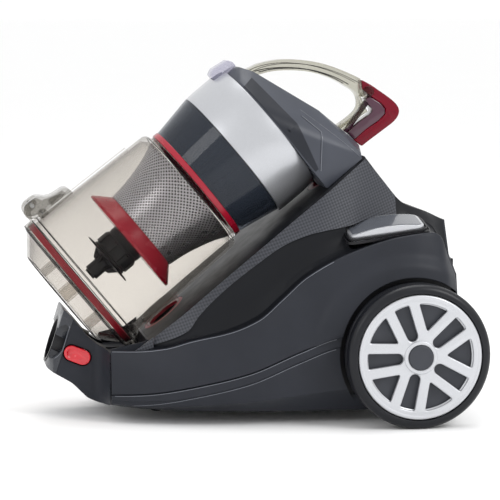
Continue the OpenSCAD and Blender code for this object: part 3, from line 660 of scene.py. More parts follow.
ANTHRACITE = moulded("anthracite_plastic", "body_plastic", (0.0215, 0.0235, 0.0300), 0.44,
                     Specular_IOR_Level=0.17)
HEAD = moulded("head_plastic", "body_plastic", (0.052, 0.057, 0.072), 0.38, Specular_IOR_Level=0.30)
# A darker copy of the body plastic for the upper housing between the bin and the side panels: painted
# shade.
HOUSING_SHADE = moulded("housing_painted_shade", "body_plastic", (0.0055, 0.0062, 0.0085), 0.44, Specular_IOR_Level=0.18)
WEAVE = woven("woven_plastic", "woven_panel", (0.016, 0.0175, 0.022), (0.060, 0.064, 0.077))
LIP = moulded("lip_plastic", "lip_plastic", (0.026, 0.029, 0.037), 0.28)
# A light grey used only for thin raised lines along edges and creases: painted highlights where those edges
# catch the light.
LINE_HIGHLIGHT = moulded("painted_line_highlight", "lip_plastic", (0.12, 0.128, 0.15), 0.30)
BLACK = moulded("black_plastic", "black_plastic", (0.008, 0.008, 0.010), 0.38, Specular_IOR_Level=0.32)
SEAL_RED = moulded("crimson_rubber", "red_rubber", (0.27, 0.005, 0.018), 0.42)
CRIMSON = moulded("crimson_plastic", "red_plastic", (0.30, 0.005, 0.020), 0.25, grain=0)
BUTTON_RED = moulded("button_plastic", "red_plastic", (0.62, 0.008, 0.020), 0.22, grain=0, Coat_Weight=0.6)
SILVER = painted_silver("silver_lacquer", "silver_plastic", (0.50, 0.51, 0.535))
RIM_SILVER = painted_silver("rim_lacquer", "silver_plastic", (0.56, 0.57, 0.595), 0.42)
KEY_TOP = moulded("key_top_plastic", "silver_plastic", (0.085, 0.092, 0.108), 0.16, grain=0,
                  Coat_Weight=0.5)
TYRE = moulded("tyre_rubber", "tyre_rubber", (0.006, 0.0067, 0.0095), 0.34, grain=0.04,
               Specular_IOR_Level=0.3)
HUB = moulded("wheel_plastic", "wheel_plastic", (0.040, 0.043, 0.052), 0.45, Specular_IOR_Level=0.3)
CLEAR = clear_plastic("smoky_clear", "clear_bin", (0.93, 0.915, 0.895), (0.028, 0.027, 0.028), 0.06, 0.94)
SMOKE = clear_plastic("latch_clear", "clear_bin", (0.84, 0.83, 0.81), (0.035, 0.034, 0.034), 0.16, 0.95)
CLEAR_EDGE = clear_plastic("clear_edge", "clear_bin", (0.40, 0.39, 0.39), (0.02, 0.02, 0.022), 0.55, 0.95)
CLEAR_THICK = clear_plastic("handle_clear", "clear_bin", (0.87, 0.86, 0.80), (0.07, 0.066, 0.055), 0.16,
                            0.9)
RED_CLEAR = clear_plastic("crimson_clear", "red_plastic", (0.50, 0.03, 0.07), (0.20, 0.004, 0.022), 0.55,
                          0.94)
PLUM = moulded("plum_plastic", "red_plastic", (0.050, 0.006, 0.024), 0.2, grain=0, Coat_Weight=0.5)
LILAC = clear_plastic("lilac_clear", "frosted_clip", (0.86, 0.85, 0.92), (0.34, 0.34, 0.40), 0.30, 0.85,
                      0.10)
CONE_CLEAR = clear_plastic("cone_clear", "clear_bin", (0.70, 0.73, 0.79), (0.026, 0.032, 0.044), 0.60, 0.95)
SHROUD = perforated("perforated_steel", "shroud_steel", (0.52, 0.53, 0.58))
CYCLONE = moulded("cyclone_plastic", "cyclone_plastic", (0.034, 0.042, 0.058), 0.34, grain=0)
STEEL = brushed("bare_steel", "steel", (0.56, 0.57, 0.58))
ALLOY = brushed("fan_alloy", "fan_alloy", (0.72, 0.72, 0.74), 0.22)
FILTER = moulded("filter_paper", "filter_media", (0.80, 0.80, 0.76), 0.8, grain=0.08)
BOARD = moulded("board_green", "board", (0.02, 0.09, 0.04), 0.4)

CARRIED = {
    BLACK: ["hose_socket", "inlet_duct", "wheel_wells", "motor_cover", "cord_reel", "cord_outlet",
            "pedal_frame", "castor_socket", "castor_roller", "exhaust_cover"],
    STEEL: ["motor_housing", "motor_rotor", "reel_bracket", "shell_screws", "stub_axles", "castor_fork",
            "door_hinge_pin"],
    ALLOY: ["motor_fan"],
    FILTER: ["hepa_filter"],
    BOARD: ["control_board"],
    SEAL_RED: ["cradle_seals", "door_seal"],
    ANTHRACITE: ["rear_panel", "cradle_seat"],
}
for material, names in CARRIED.items():
    for name in names:
        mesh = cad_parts[name].data
        mesh.materials.clear()
        mesh.materials.append(material)


# ---------------------------------------------------------------- body
def swung(row):
    return row + [(x, -y, z) for x, y, z in reversed(row)]


def base_row(x, inset):
    """The base's section: a narrow band under its rim, the side, and a rounded edge to the floor."""
    w, z, low = at(SEAM_WIDTH, x) - inset, at(SEAM, x), at(FLOOR, x) + inset
    band = min(9.0, (z - low) * 0.4)
    hip = low + (z - low) * 0.30
    side = [(w, z), (w, z - band + 0.6), (w - 1.2, z - band), (w - 1.6, z - band - 0.6)]
    side += [(w - 1.8 - 2.2 * u ** 2, z - band - 1 - (z - band - 1 - hip) * u)
             for u in (0.25, 0.5, 0.75, 1.0)]
    for a in (20, 40, 60, 90):
        bend = math.sin(math.radians(a))
        side.append((w - 4 - 18 * bend, low + (hip - low) * (1 - bend ** 1.3)))
    side += [(w - 32, low), (w * 0.35, low)]
    return swung([(x, -y, max(h, low)) for y, h in side])


def housing_row(x, inset):
    """The upper housing's section: a scooped shelf, the leaning side and the cradle's flat."""
    sw = at(SHOULDER_WIDTH, x) - WALL - 0.3 - inset
    sz = at(SHOULDER, x) - inset
    rw = min(at(RIDGE_WIDTH, x), at(FOOT_WIDTH, x) - 1) - inset
    fw = at(FOOT_WIDTH, x) - inset
    rz = ridge_z(x) - inset
    fz = min(max(at(FOOT, x), sz + inset + 1) - inset, rz)
    row = []
    for u in (0, 0.12, 0.3, 0.5, 0.7, 0.86, 0.95):
        row.append((x, -(sw + (fw - sw) * (1 - (1 - u) ** 1.8)), sz + (fz - sz) * u ** 2.4))
    row += [(x, -(fw + (rw - fw) * u), fz + (rz - fz) * u) for u in (0, 0.5, 0.96)]
    row += [(x, -rw + 1.2, rz), (x, -rw * 0.5, rz)]
    return swung(row)


def flare(x, z):
    """How far the wheel's flare stands out of the fender: it rises at a crease that circles the wheel."""
    dx, dz = x - WHEEL_X, z - WHEEL_R
    crease = 95 + 9 * max(-dx, 0) / (abs(dx) + abs(dz) + 1)
    u = min(max((crease - math.hypot(dx, dz)) / 13, 0), 1)
    return 4.2 * u * u * (3 - 2 * u)


def fender_row(x, inset):
    """A fender's section: out over the wheel in a creased flare, and in to the shoulder."""
    seam, shoulder = at(SEAM, x) + 0.6, at(SHOULDER, x)
    lo = max(seam, arch_z(x))
    hi = max(shoulder, lo + 2)
    sw, tw = at(SEAM_WIDTH, x), at(SHOULDER_WIDTH, x)
    row = []
    for f in (0, 0.02) + tuple(k / 16 for k in range(1, 16)) + (0.985, 1):
        z = lo + (hi - lo) * f
        lean = min(max((z - seam) / (hi - seam), 0), 1) ** 2
        edge = 0.8 if f in (0, 1) else 0.0
        row.append((x, -(sw + (tw - sw) * lean + flare(x, z) - inset - edge), z))
    return row


PANEL_XS = sorted(set(steps(-97, -60, 12) + steps(-58, 66, 36) + steps(68, TOWER_X, 12)
                      + steps(TOWER_X + 2, 146, 10)))


def panel_row(x, out):
    """The woven skin on the housing's side, just clear of it."""
    fw, fz = at(FOOT_WIDTH, x), at(FOOT, x)
    rw, rz = min(at(RIDGE_WIDTH, x), fw - 1), ridge_z(x)
    return [(x, -(fw + (rw - fw) * f + 1.0 + out), fz + (rz - fz) * f) for f in (0.05, 0.35, 0.65, 0.96)]


def skin(row, xs, out=0, inside=WALL):
    """A sheet between a row function's outer and inner sections along xs."""
    return sheet([row(x, out) for x in xs], [row(x, inside) for x in xs])


def body_pieces():
    xs = sorted(set(steps(FRONT_X, 70, 52) + steps(70, 190, 40) + steps(190, REAR_X, 4)))
    arches = [placed(lathe(rect(0, ARCH_EDGE, ARCH_R, 170), 120),
                     wheel_place(side)) for side in (-1, 1)]
    castor_hole = placed(lathe(rect(0, 0, 27, 24), 64), move(-95, 0, 0))
    base = piece("base_form", skin(base_row, xs),
                 ANTHRACITE, "chassis", ["base_shell"], cuts=arches + [castor_hole], sharp=24)
    read = surface(base)
    # Two light lines along the base's rim band: painted highlights on its edges.
    edge_highlights = [bead(read, [(x, at(SEAM, x) - drop) for x in steps(FRONT_X + 3, 74, 80)], 0.55, 0.3)
             for drop in (0.7, 10.6)]
    for side, matrix in BOTH:
        piece(f"base_trim_{side}", placed(joined(*edge_highlights), matrix), LINE_HIGHLIGHT, "chassis")

    xs = sorted(set(steps(SEAT_X, 70, 40) + steps(70, TOWER_X, 12) + steps(TOWER_X, REAR_X, 24)))
    hole = prism(rounded(centred(PEDAL_X + 0.8, PEDAL_Y + 0.8), 8.5), -26, 20)
    pedal_holes = [placed(hole, pedal_place(side)) for side in (-1, 1)]
    ports = [port_room(24.5, s) for s in (INLET_S, OUTLET_S)]
    # The upper housing is drawn in the darker copy of the body plastic: painted shade.
    piece("housing_form", skin(housing_row, xs),
          HOUSING_SHADE, "chassis", ["upper_housing"], cuts=pedal_holes + ports, sharp=24)

    arch_xs = [70, 74, 77, 77.3, 77.6, 78, 78.6, 79.4, 80.5, 82, 84, 86.5, 90, 94]
    xs = sorted(set(steps(FRONT_X, 66, 50) + arch_xs + steps(98, 186, 30) + steps(188, REAR_X, 5)))
    for side, matrix in BOTH:
        fender = piece(f"fender_{side}_form", placed(skin(fender_row, xs), matrix), ANTHRACITE, "chassis",
                       [f"fender_{side}"], sharp=40)
        # A light line along the fender's shoulder: a painted highlight on its top edge.
        if side == "left":
            crest_highlight = bead(surface(fender), [(x, at(SHOULDER, x) - 0.8) for x in steps(FRONT_X + 1, 74, 100)],
                         0.6, 0.4)
        piece(f"crest_{side}", placed(crest_highlight, matrix), LINE_HIGHLIGHT, "chassis")
        panel = skin(panel_row, PANEL_XS, 1.2, 0)
        piece(f"panel_{side}_form", placed(panel, matrix), WEAVE, "chassis", [f"side_panel_{side}"],
              sharp=30)


body_pieces()


# ---------------------------------------------------------------- nozzle
def nozzle_pieces():
    half, back = 34.0, FRONT_X - 0.3
    side_view = [(-197.3, 49.3), (-190.3, 72), (-179.5, 107.5), bin_pt(-30, -14), bin_pt(-30, -44),
                 (-146, 71.5), (back, 68), (back, 14.5), (-147, 15.2), (-157, 19.5), (-172, 34.5)]

    def plan(inset):
        flare = [(min(-151.3 + (14 + inset) * math.sin(math.radians(u)), back),
                  66 - (32 + inset) * math.cos(math.radians(u))) for u in steps(0, 78.75, 14)]
        front = [(-199.3 + inset + y * y / 130, y) for y in steps(-half + inset, half - inset, 24)]
        mirrored = [(x, -y) for x, y in reversed(flare)]
        return flare + [(back, 66 - inset), (back, inset - 66)] + mirrored + front

    mouth = placed(lathe(rect(0, -45, PORT_R + 3.2, 65), 72), ON_PORT)

    def body(name, other):
        """The nozzle's block with its mouth, less the room that the other part takes."""
        obj = solid(name, slab(rounded(side_view, 3, 3), -80, 80))
        for tool, operation in ((prism(plan(0), 5, 125), "INTERSECT"), (other, "DIFFERENCE"),
                                (mouth, "DIFFERENCE")):
            cutter = solid("tool", tool)
            cut_with(obj, cutter, operation)
            bpy.context.view_layer.update()
            obj.data = evaluated(obj)
            obj.modifiers.clear()
            bpy.data.objects.remove(cutter)
        shape = shape_of(obj.data, MM)
        bpy.data.objects.remove(obj)
        return shape

    def box(x0, x1):
        """All that lies from x0 to x1 across the joint between the nozzle and its collar."""
        return placed(prism(rect(x0, -60, x1, 60), -80, 80), move(-178, 0, 74) @ turn("Y", 18.4))

    rooms = [placed(prism(stadium(29.4, 17.4), -12, 18), button_place(side)) for side in (-1, 1)]
    inside = [(-178, 38), (-172, 38.5), (-157, 23.5), (-147, 19), (-130, 18.5), (-130, 63), (-146, 68),
              bin_pt(-34, -44)]
    piece("nozzle_form", body("nozzle", box(-60, 0.15)), ANTHRACITE, "chassis", ["nozzle_housing"],
          bevel=0.7, angle=40, cuts=rooms + [slab(inside, -31, 31)], sharp=30)
    lean = math.radians(PORT_TILT)
    oval = [(-185.6 + 7.6 * math.cos(a) * math.cos(lean) + 18.5 * math.sin(a) * math.sin(lean),
             75.6 - 7.6 * math.cos(a) * math.sin(lean) + 18.5 * math.sin(a) * math.cos(lean))
            for a in (math.radians(k) for k in steps(0, 350, 35))]
    collar = piece("collar_form", body("collar", box(-0.15, 80)), LIP, "chassis", ["inlet_collar"],
                   bevel=0.9, segments=3, angle=40, sharp=30,
                   cuts=[slab(oval, -60, -22), slab(oval, 22, 60)])
    # A light line along the rear half of the mouth's edge: a painted highlight.
    rim = bead(surface(collar), [(x + 0.9, z) for x, z in oval[27:36] + oval[:9]], 0.8, 0.35)
    toe = slab([(-117, 69.2), (-96.8, 84), (-96.8, 73.5), (-117, 69)], -77, -75)
    for side, matrix in BOTH:
        piece(f"mouth_rim_{side}", placed(rim, matrix), LINE_HIGHLIGHT, "chassis")
        piece(f"panel_toe_{side}", placed(toe, matrix), WEAVE, "chassis")
    for name, side in (("left", -1), ("right", 1)):
        shape = placed(prism(stadium(27, 15), -3, 5.5), button_place(side))
        dimple = placed(ball(9), button_place(side) @ move(-6, 0, 13))
        piece(f"button_{name}_form", shape, BUTTON_RED, f"button_{name}", [f"hose_button_{name}"],
              cuts=[dimple], bevel=1.2, segments=3, angle=40)


def stadium(length, width):
    r = width / 2
    return arc(length / 2 - r, 0, r, -90, 90, 14) + arc(-length / 2 + r, 0, r, 90, 270, 14)


def ball(r, n=20):
    return lathe([(0, -r)] + arc(0, 0, r, -85, 85, n) + [(0, r)], 40)


nozzle_pieces()


# ---------------------------------------------------------------- wheels
def wheel_pieces():
    """Both wheels. Heights are from the rim's plane, outwards."""
    tyre = [(58, -22), (66, -22)] + arc(65.5, -18, 4, -60, 0, 6)
    tyre += [(69.5, -12), (69.0, -11.6), (69.0, -10.4), (69.5, -10)]
    tyre += arc(62.5, -3, 7, 0, 80, 12) + arc(61.6, 3.2, 0.8, 80, 180, 4)
    tyre += [(60.4, -3.5), (58, -3.5)]
    slot = arc(22, 0, 5.2, 270, 90, 12) + rounded_end(7.4, 51.5)
    window = [(25.5, 0)] + [polar(51.5, a) for a in (16.2, 11, 5.5, 0, -5.5, -11, -16.2)]
    window = rounded(window, 2.2, 3)
    for name, side in (("left", -1), ("right", 1)):
        place = wheel_place(side) @ move(0, 0, RIM_Y)
        body = f"wheel_{name}"
        piece(f"tyre_{name}_form", placed(lathe(tyre, 160), place), TYRE, body, [f"tyre_{name}"], sharp=50)
        holes = [[tuple((turn("Z", start + 72 * k) @ Vector((x, y, 0))).xy) for x, y in loop]
                 for k in range(5) for loop, start in ((slot, 183.5), (window, 219.5))]
        spokes = plate(arc(0, 0, 57.5, 0, 357.5, 143), holes, 5.2, 1.5, place @ move(0, 0, -1))
        ring = [(50.6, -1), (59.9, -1)] + arc(57.9, 2.6, 2, 0, 90, 6)
        ring += [(56.4, 4.5), (50.6, 0.6)]
        collar = [(11, 1)] + arc(14.6, 4.0, 1.6, -30, 100, 6)
        collar += arc(12.9, 4.6, 0.8, 90, 180, 3)
        rim = joined(spokes, placed(lathe(ring, 160), place), placed(lathe(collar, 96), place))
        piece(f"rim_{name}_form", rim, RIM_SILVER, body, [f"rim_{name}"], sharp=50)
        disc = [(5.1, -20), (12, -20), (12, -7), (57.8, -7), (57.8, -2),
                (40, -3.4), (12, -2), (12, -0.3), (5.1, -0.3)]
        piece(f"disc_{name}_form", placed(lathe(disc, 128), place), HUB, body, [f"wheel_disc_{name}"])
        cap = [(0, 0.3), (12, 0.3), (12, 5.2)] + arc(11, 5.4, 1, 0, 80, 4)
        cap += [(9.6, 6.5), (8.8, 6.2), (4, 6.9), (0, 7.1)]
        piece(f"cap_{name}_form", placed(lathe(cap, 96), place), HUB, body, [f"hub_cap_{name}"], sharp=50)


def rounded_end(half, r):
    """The outer end of a wheel slot: rounded corners on an arc about the wheel's centre."""
    reach = math.degrees(math.asin(half / r))
    return rounded([(22, 5.2)] + arc(0, 0, r, reach, -reach, 4) + [(22, -5.2)], 2.4, 3)[4:-4]


wheel_pieces()


# ---------------------------------------------------------------- bin
def wall_r(s):
    return BIN_R + (SHOULDER_R - BIN_R) * s / BIN_LEN


def turned(profile, n=144):
    """A profile turned about the bin's axis."""
    return placed(lathe(profile, n), ON_BIN)


def blades(outline, thick, count, start=0):
    """Flat blades of [radius, height] outline, evenly around the bin's axis."""
    blade = prism(outline, -thick / 2, thick / 2)
    return [placed(blade, ON_BIN @ turn("Z", 360 / count * k + start) @ turn("X", 90))
            for k in range(count)]


def bin_slab(points, y0, y1):
    return slab(bin_outline(points), y0, y1)


def bin_rod(s, t, r, y0, y1):
    x, z = bin_pt(s, t)
    return slab(arc(x, z, r, 0, 345, 23), y0, y1)


def mark_uv(obj, length):
    """UVs in millimetres around and along the bin's axis."""
    layer = obj.data.uv_layers.new(name="mm")
    inverse = ON_BIN.inverted()
    for polygon in obj.data.polygons:
        base = None
        for loop in polygon.loop_indices:
            point = inverse @ (obj.data.vertices[obj.data.loops[loop].vertex_index].co / MM)
            angle = math.atan2(point.y, point.x)
            if base is None:
                base = angle
            if angle - base > math.pi:
                angle -= 2 * math.pi
            if base - angle > math.pi:
                angle += 2 * math.pi
            layer.data[loop].uv = (angle / (2 * math.pi) * length, point.z)


def bin_pieces():
    outer = arc(wall_r(BIN_LEN) - 7, BIN_LEN - 4, 7, 0, 80, 10)
    wall = [(BIN_R - 2.4, 0.5), (BIN_R + 1.4, 0.5), (BIN_R + 2, 1.1), (BIN_R + 2, 6.4), (BIN_R + 1.4, 7),
            (wall_r(8), 8), (wall_r(9), 9)] + outer + [(62, BIN_LEN + 5.5), (60, BIN_LEN + 5.5)]
    wall += [(60, BIN_LEN + 0.5), (wall_r(BIN_LEN) - 9, BIN_LEN), (wall_r(BIN_LEN) - 2.4, BIN_LEN - 6),
             (BIN_R - 2.4, 8)]
    lug = bin_slab(rounded([(9, 73), (19, 72.6), (19, 78), (16, 80.5), (12, 80.5), (9, 78)], 1.2, 2), -5, 5)
    hinge = [(1, -77.5), (6, -75.6), (12, -74.0), (5, -81.5), (1, -84), (-4, -84), (-4, -79)]
    hinges = [bin_slab(hinge, y, y + 6) for y in (-13, 7)]
    mouth = placed(lathe(rect(17.5, 0, 21, 9.6), 64), port_place(BIN_R - 7.4, INLET_S))
    ribs = [bin_slab([(10, 74.6), (10, 75.6), (118, 72.0), (118, 71.2)], y, y + 1.0) for y in (-16, 15)]
    piece("bin_form", joined(turned(wall, 160), mouth, *ribs), CLEAR, "bin", ["bin_cylinder"], sharp=30)
    piece("bin_lugs", joined(lug, *hinges), SMOKE, "bin", sharp=30)
    edges = [turned(rect(r, s, r + 0.6, s + 0.8))
             for r, s in ((76.5, 0.9), (76.5, 5.8), (wall_r(BIN_LEN) - 4.4, BIN_LEN + 0.6))]
    piece("bin_edges", joined(*edges), CLEAR_EDGE, "bin", sharp=30)

    door = [(0, -26), (51, -26)] + arc(51.5, -24, 2, -80, -40, 3)
    door += [(72.4, -9.6), (74.4, -8.5), (77.4, -8.5), (78, -7.9), (78, -0.9), (77.4, -0.3), (75.2, -0.3),
             (75.2, -6), (71.5, -6.6), (51.4, -23.5), (8, -23.5), (8, -5), (6, -5), (6, -23.5), (0, -23.5)]
    ear = bin_slab(rounded([(-9, 74), (-4, 77), (-0.3, 77), (-0.3, 84), (5, 94), (10, 95.5), (16, 93.5),
                            (17, 89), (12, 86), (6, 85.5), (3, 80), (-0.3, 70), (-6, 70)], 1, 2), -3.5, 3.5)
    foot = bin_slab([(-8, -76), (-0.4, -76), (-0.4, -79), (2.2, -80), (2.2, -83), (-1, -84.8), (-5, -83.5),
                     (-8, -79)], -6.6, 6.6)
    bosses = [bin_slab([(-23.4, t), (-23.4, t + 1.6), (-7, t + 1.6), (-7, t)], -30, 30) for t in (-38, 30)]
    piece("door_form", joined(turned(door, 160), foot, *bosses), CLEAR, "door", ["bin_door"], sharp=30)
    piece("door_ear", ear, SMOKE, "door", sharp=30)
    edges = [turned(rect(r, s, r + 0.7, s + 0.9)) for r, s in ((77.2, -8.2), (74.0, -9.3), (51.4, -25.6))]
    piece("door_edges", joined(*edges), CLEAR_EDGE, "door", sharp=30)
    seal = [(72.2, -5.4), (75, -5.4), (75, 0.3), (73.9, 0.3), (73.6, -0.6), (73.3, 0.3), (72.2, 0.3)]
    piece("seal_form", turned(seal), SEAL_RED, "door", ["door_seal"])

    lever = [(11, 77.6), (6, 78.6), (1.5, 82), (-1, 86), (0.5, 91), (3, 94), (7, 95.4), (15, 95),
             (19, 94.2), (22, 92), (25.5, 88), (30, 85), (36, 83.8), (44, 83), (47.5, 81.5), (49.5, 78),
             (49.5, 68), (47, 64), (43, 60), (11, 60)]
    hollow = [turned(rect(0, -22, 77.7, 90)), turned(rect(0, -20, 78.5, 8.5)),
              bin_slab([(-20, 60), (40, 60), (40, 80), (22, 86), (19, 91), (18.5, 100), (-20, 100)], -7.2,
                       7.2)]
    hollow += [bin_slab(rounded([(24, 70), (44, 70), (44, 79.5), (26, 81.5)], 3), y, y + 9)
               for y in (-19, 10)]
    piece("latch_form", bin_slab(rounded(lever, 2.5, 3), -22, 22), SMOKE, "latch", ["door_latch"],
          cuts=hollow, bevel=0.8, angle=35, sharp=30)
    piece("latch_pin", bin_rod(11, 90.6, 2, -21.6, 21.6), STEEL, "latch")
    piece("catch_pin", bin_rod(14, 77.4, 1.55, -6.5, 6.5), STEEL, "bin")


def cyclone_pieces():
    cone = [(0, 10), (5.4, 10), (6, 10.6), (6, 12), (8, 12.6), (8, 29), (9, 30.4), (15, 32.6), (28, 33),
            (28.6, 33.6), (28, 34.4), (20.5, 35.2), (20.5, 37), (19.6, 37.4), (19.6, 39), (20.5, 39.4),
            (20.5, 52), (19.4, 52.4), (19.4, 54), (20, 54.6), (20, 60), (0, 60)]
    fins = blades([(7.6, 24), (11, 25), (17, 33), (7.6, 33)], 1.4, 6)
    teeth = blades([(20, 38), (21.6, 38.6), (21.6, 50), (20, 51)], 4.4, 8, 20)
    piece("dust_cone_form", joined(turned(cone, 72), *fins, *teeth), BLACK, "bin", ["dust_cone"], sharp=30)
    skirt = [(18.3, 60.3), (57.0, 60.3), (57.8, 61), (57.8, 63), (43.4, 77), (40.5, 77), (54.8, 63),
             (18.3, 62.8)]
    piece("skirt_form", turned(skirt), CRIMSON, "bin", ["shroud_skirt"], sharp=30)
    outer = smooth([(44, 77.2), (46.4, 96), (50.6, 114), (55, 128), (60.5, 140)], 5)
    inner = [(r - 1.7, s) for r, s in reversed(outer)]
    shroud = piece("shroud_form", turned(outer + inner, 120), SHROUD, "bin", ["shroud"], sharp=60)
    mark_uv(shroud, HOLE_PITCH * HOLES_AROUND)
    ring = [(52, 145.9), (63.4, 145.9), (64, 146.5), (64, 151.3), (63.4, 151.9), (52, 151.9)]
    piece("collector_form", turned(ring), CRIMSON, "bin", ["collector_ring"])
    top = [(59, 152.1), (63.3, 152.1), (71, 194.6), (68.6, 194.6), (61.2, 155), (59, 155)]
    piece("upper_cone_form", turned(top), CONE_CLEAR, "bin", ["upper_cone"], sharp=30)
    core = [(0, 152.2), (30, 152.2), (50, 154), (57.5, 192), (57.5, 194), (54.5, 194), (47, 156.5),
            (0, 156.5)]
    tubes = [placed(lathe([(3, 84), (4.2, 84), (9.5, 128), (9.5, 140), (8.3, 140), (8.3, 128.4)], 32),
                    ON_BIN @ turn("Z", 45 * k) @ move(30, 0, 0)) for k in range(8)]
    vanes = blades([(50.4, 156), (58.6, 158), (61, 192), (57.4, 192)], 6.4, 12, 8)
    piece("cyclone_form", joined(turned(core, 96), *tubes, *vanes), CYCLONE, "bin", ["cyclone_body"],
          sharp=30)


bin_pieces()
cyclone_pieces()


# ---------------------------------------------------------------- head and handle
RING_DROP = 1.2
ON_HEAD = ON_BIN @ move(RING_DROP, 0, 0)


def hull(points):
    bm = bmesh.new()
    for p in points:
        bm.verts.new(p)
    bmesh.ops.convex_hull(bm, input=bm.verts)
    bmesh.ops.delete(bm, geom=[v for v in bm.verts if not v.link_faces], context="VERTS")
    bmesh.ops.dissolve_limit(bm, angle_limit=math.radians(2), verts=bm.verts, edges=bm.edges)
    bm.verts.index_update()
    shape = ([tuple(v.co) for v in bm.verts], [[v.index for v in f.verts] for f in bm.faces])
    bm.free()
    return shape


def head_points(inset):
    points = [ON_HEAD @ Vector((r * math.cos(a), r * math.sin(a), h)) for r, h in
              ((69.4 - inset, 241.3 + inset), (69.4 - inset, 243.3))
              for a in (2 * math.pi * k / 96 for k in range(96))]
    groups = (([(254, 64 - inset), (262 - inset, 51 - inset), (271 - inset, 18), (254, 18)], 24 - inset),
              ([(286 - inset, -17), (294.5 - inset, -60), (295.5 - inset, -70), (290, -77.2 + inset),
                (262, -77.2 + inset)], 34 - inset),
              ([(247 + inset, -20), (289 - inset, -72), (286 - inset, -77.2 + inset),
                (241.3 + inset, -77.2 + inset)], 62 - inset))
    for outline, half in groups:
        for s, t in outline:
            x, z = bin_pt(s, t)
            points += [(x, -half, z), (x, half, z)]
    return points


def head_pieces():
    ring = [(69.6, 195), (71.4, 195)] + arc(71.4, 195.8, 0.8, -60, 0, 3)
    ring += [(72.6, 206), (72.6, 225), (71.8, 235), (70.6, 240.2), (69.8, 241), (67.6, 241)]
    pocket = bin_slab(rect(226.4, 66, 253.4, 90), -15.6, 15.6)
    piece("ring_form", placed(lathe(ring, 180), ON_HEAD), SILVER, "bin", ["silver_ring"], cuts=[pocket],
          sharp=30)
    head = piece("head_form", hull(head_points(0)), HEAD, "bin", ["head_cover"], bevel=1.1, segments=3,
                 angle=14, cuts=[hull(head_points(WALL)), port_room(18, OUTLET_S), pocket], sharp=35)
    read = surface(head)
    # Darker sheets over the head's concave faces next to the silver ring: painted shade.
    shade = joined(
        patch(read, bin_outline([(242.4, 50), (255.6, 50), (258.4, -9), (242.4, -9)]), 0.3),
        patch(read, bin_outline([(242.4, -9), (258.4, -9), (246.5, -57), (242.4, -57)]), 0.3))
    # Light lines along the head's creases: painted highlights where the creases catch the light.
    fold_highlights = joined(
        bead(read, bin_outline([(268, -8), (272, -31), (247, -60)]), 0.8, 1.0),
        bead(read, bin_outline([(271.6, -4), (281.5, -47), (286, -74)]), 0.5, 0.3))
    for side, matrix in BOTH:
        piece(f"head_shade_{side}", placed(shade, matrix), ANTHRACITE, "bin", sharp=30)
        piece(f"head_fold_{side}", placed(fold_highlights, matrix), LINE_HIGHLIGHT, "bin")


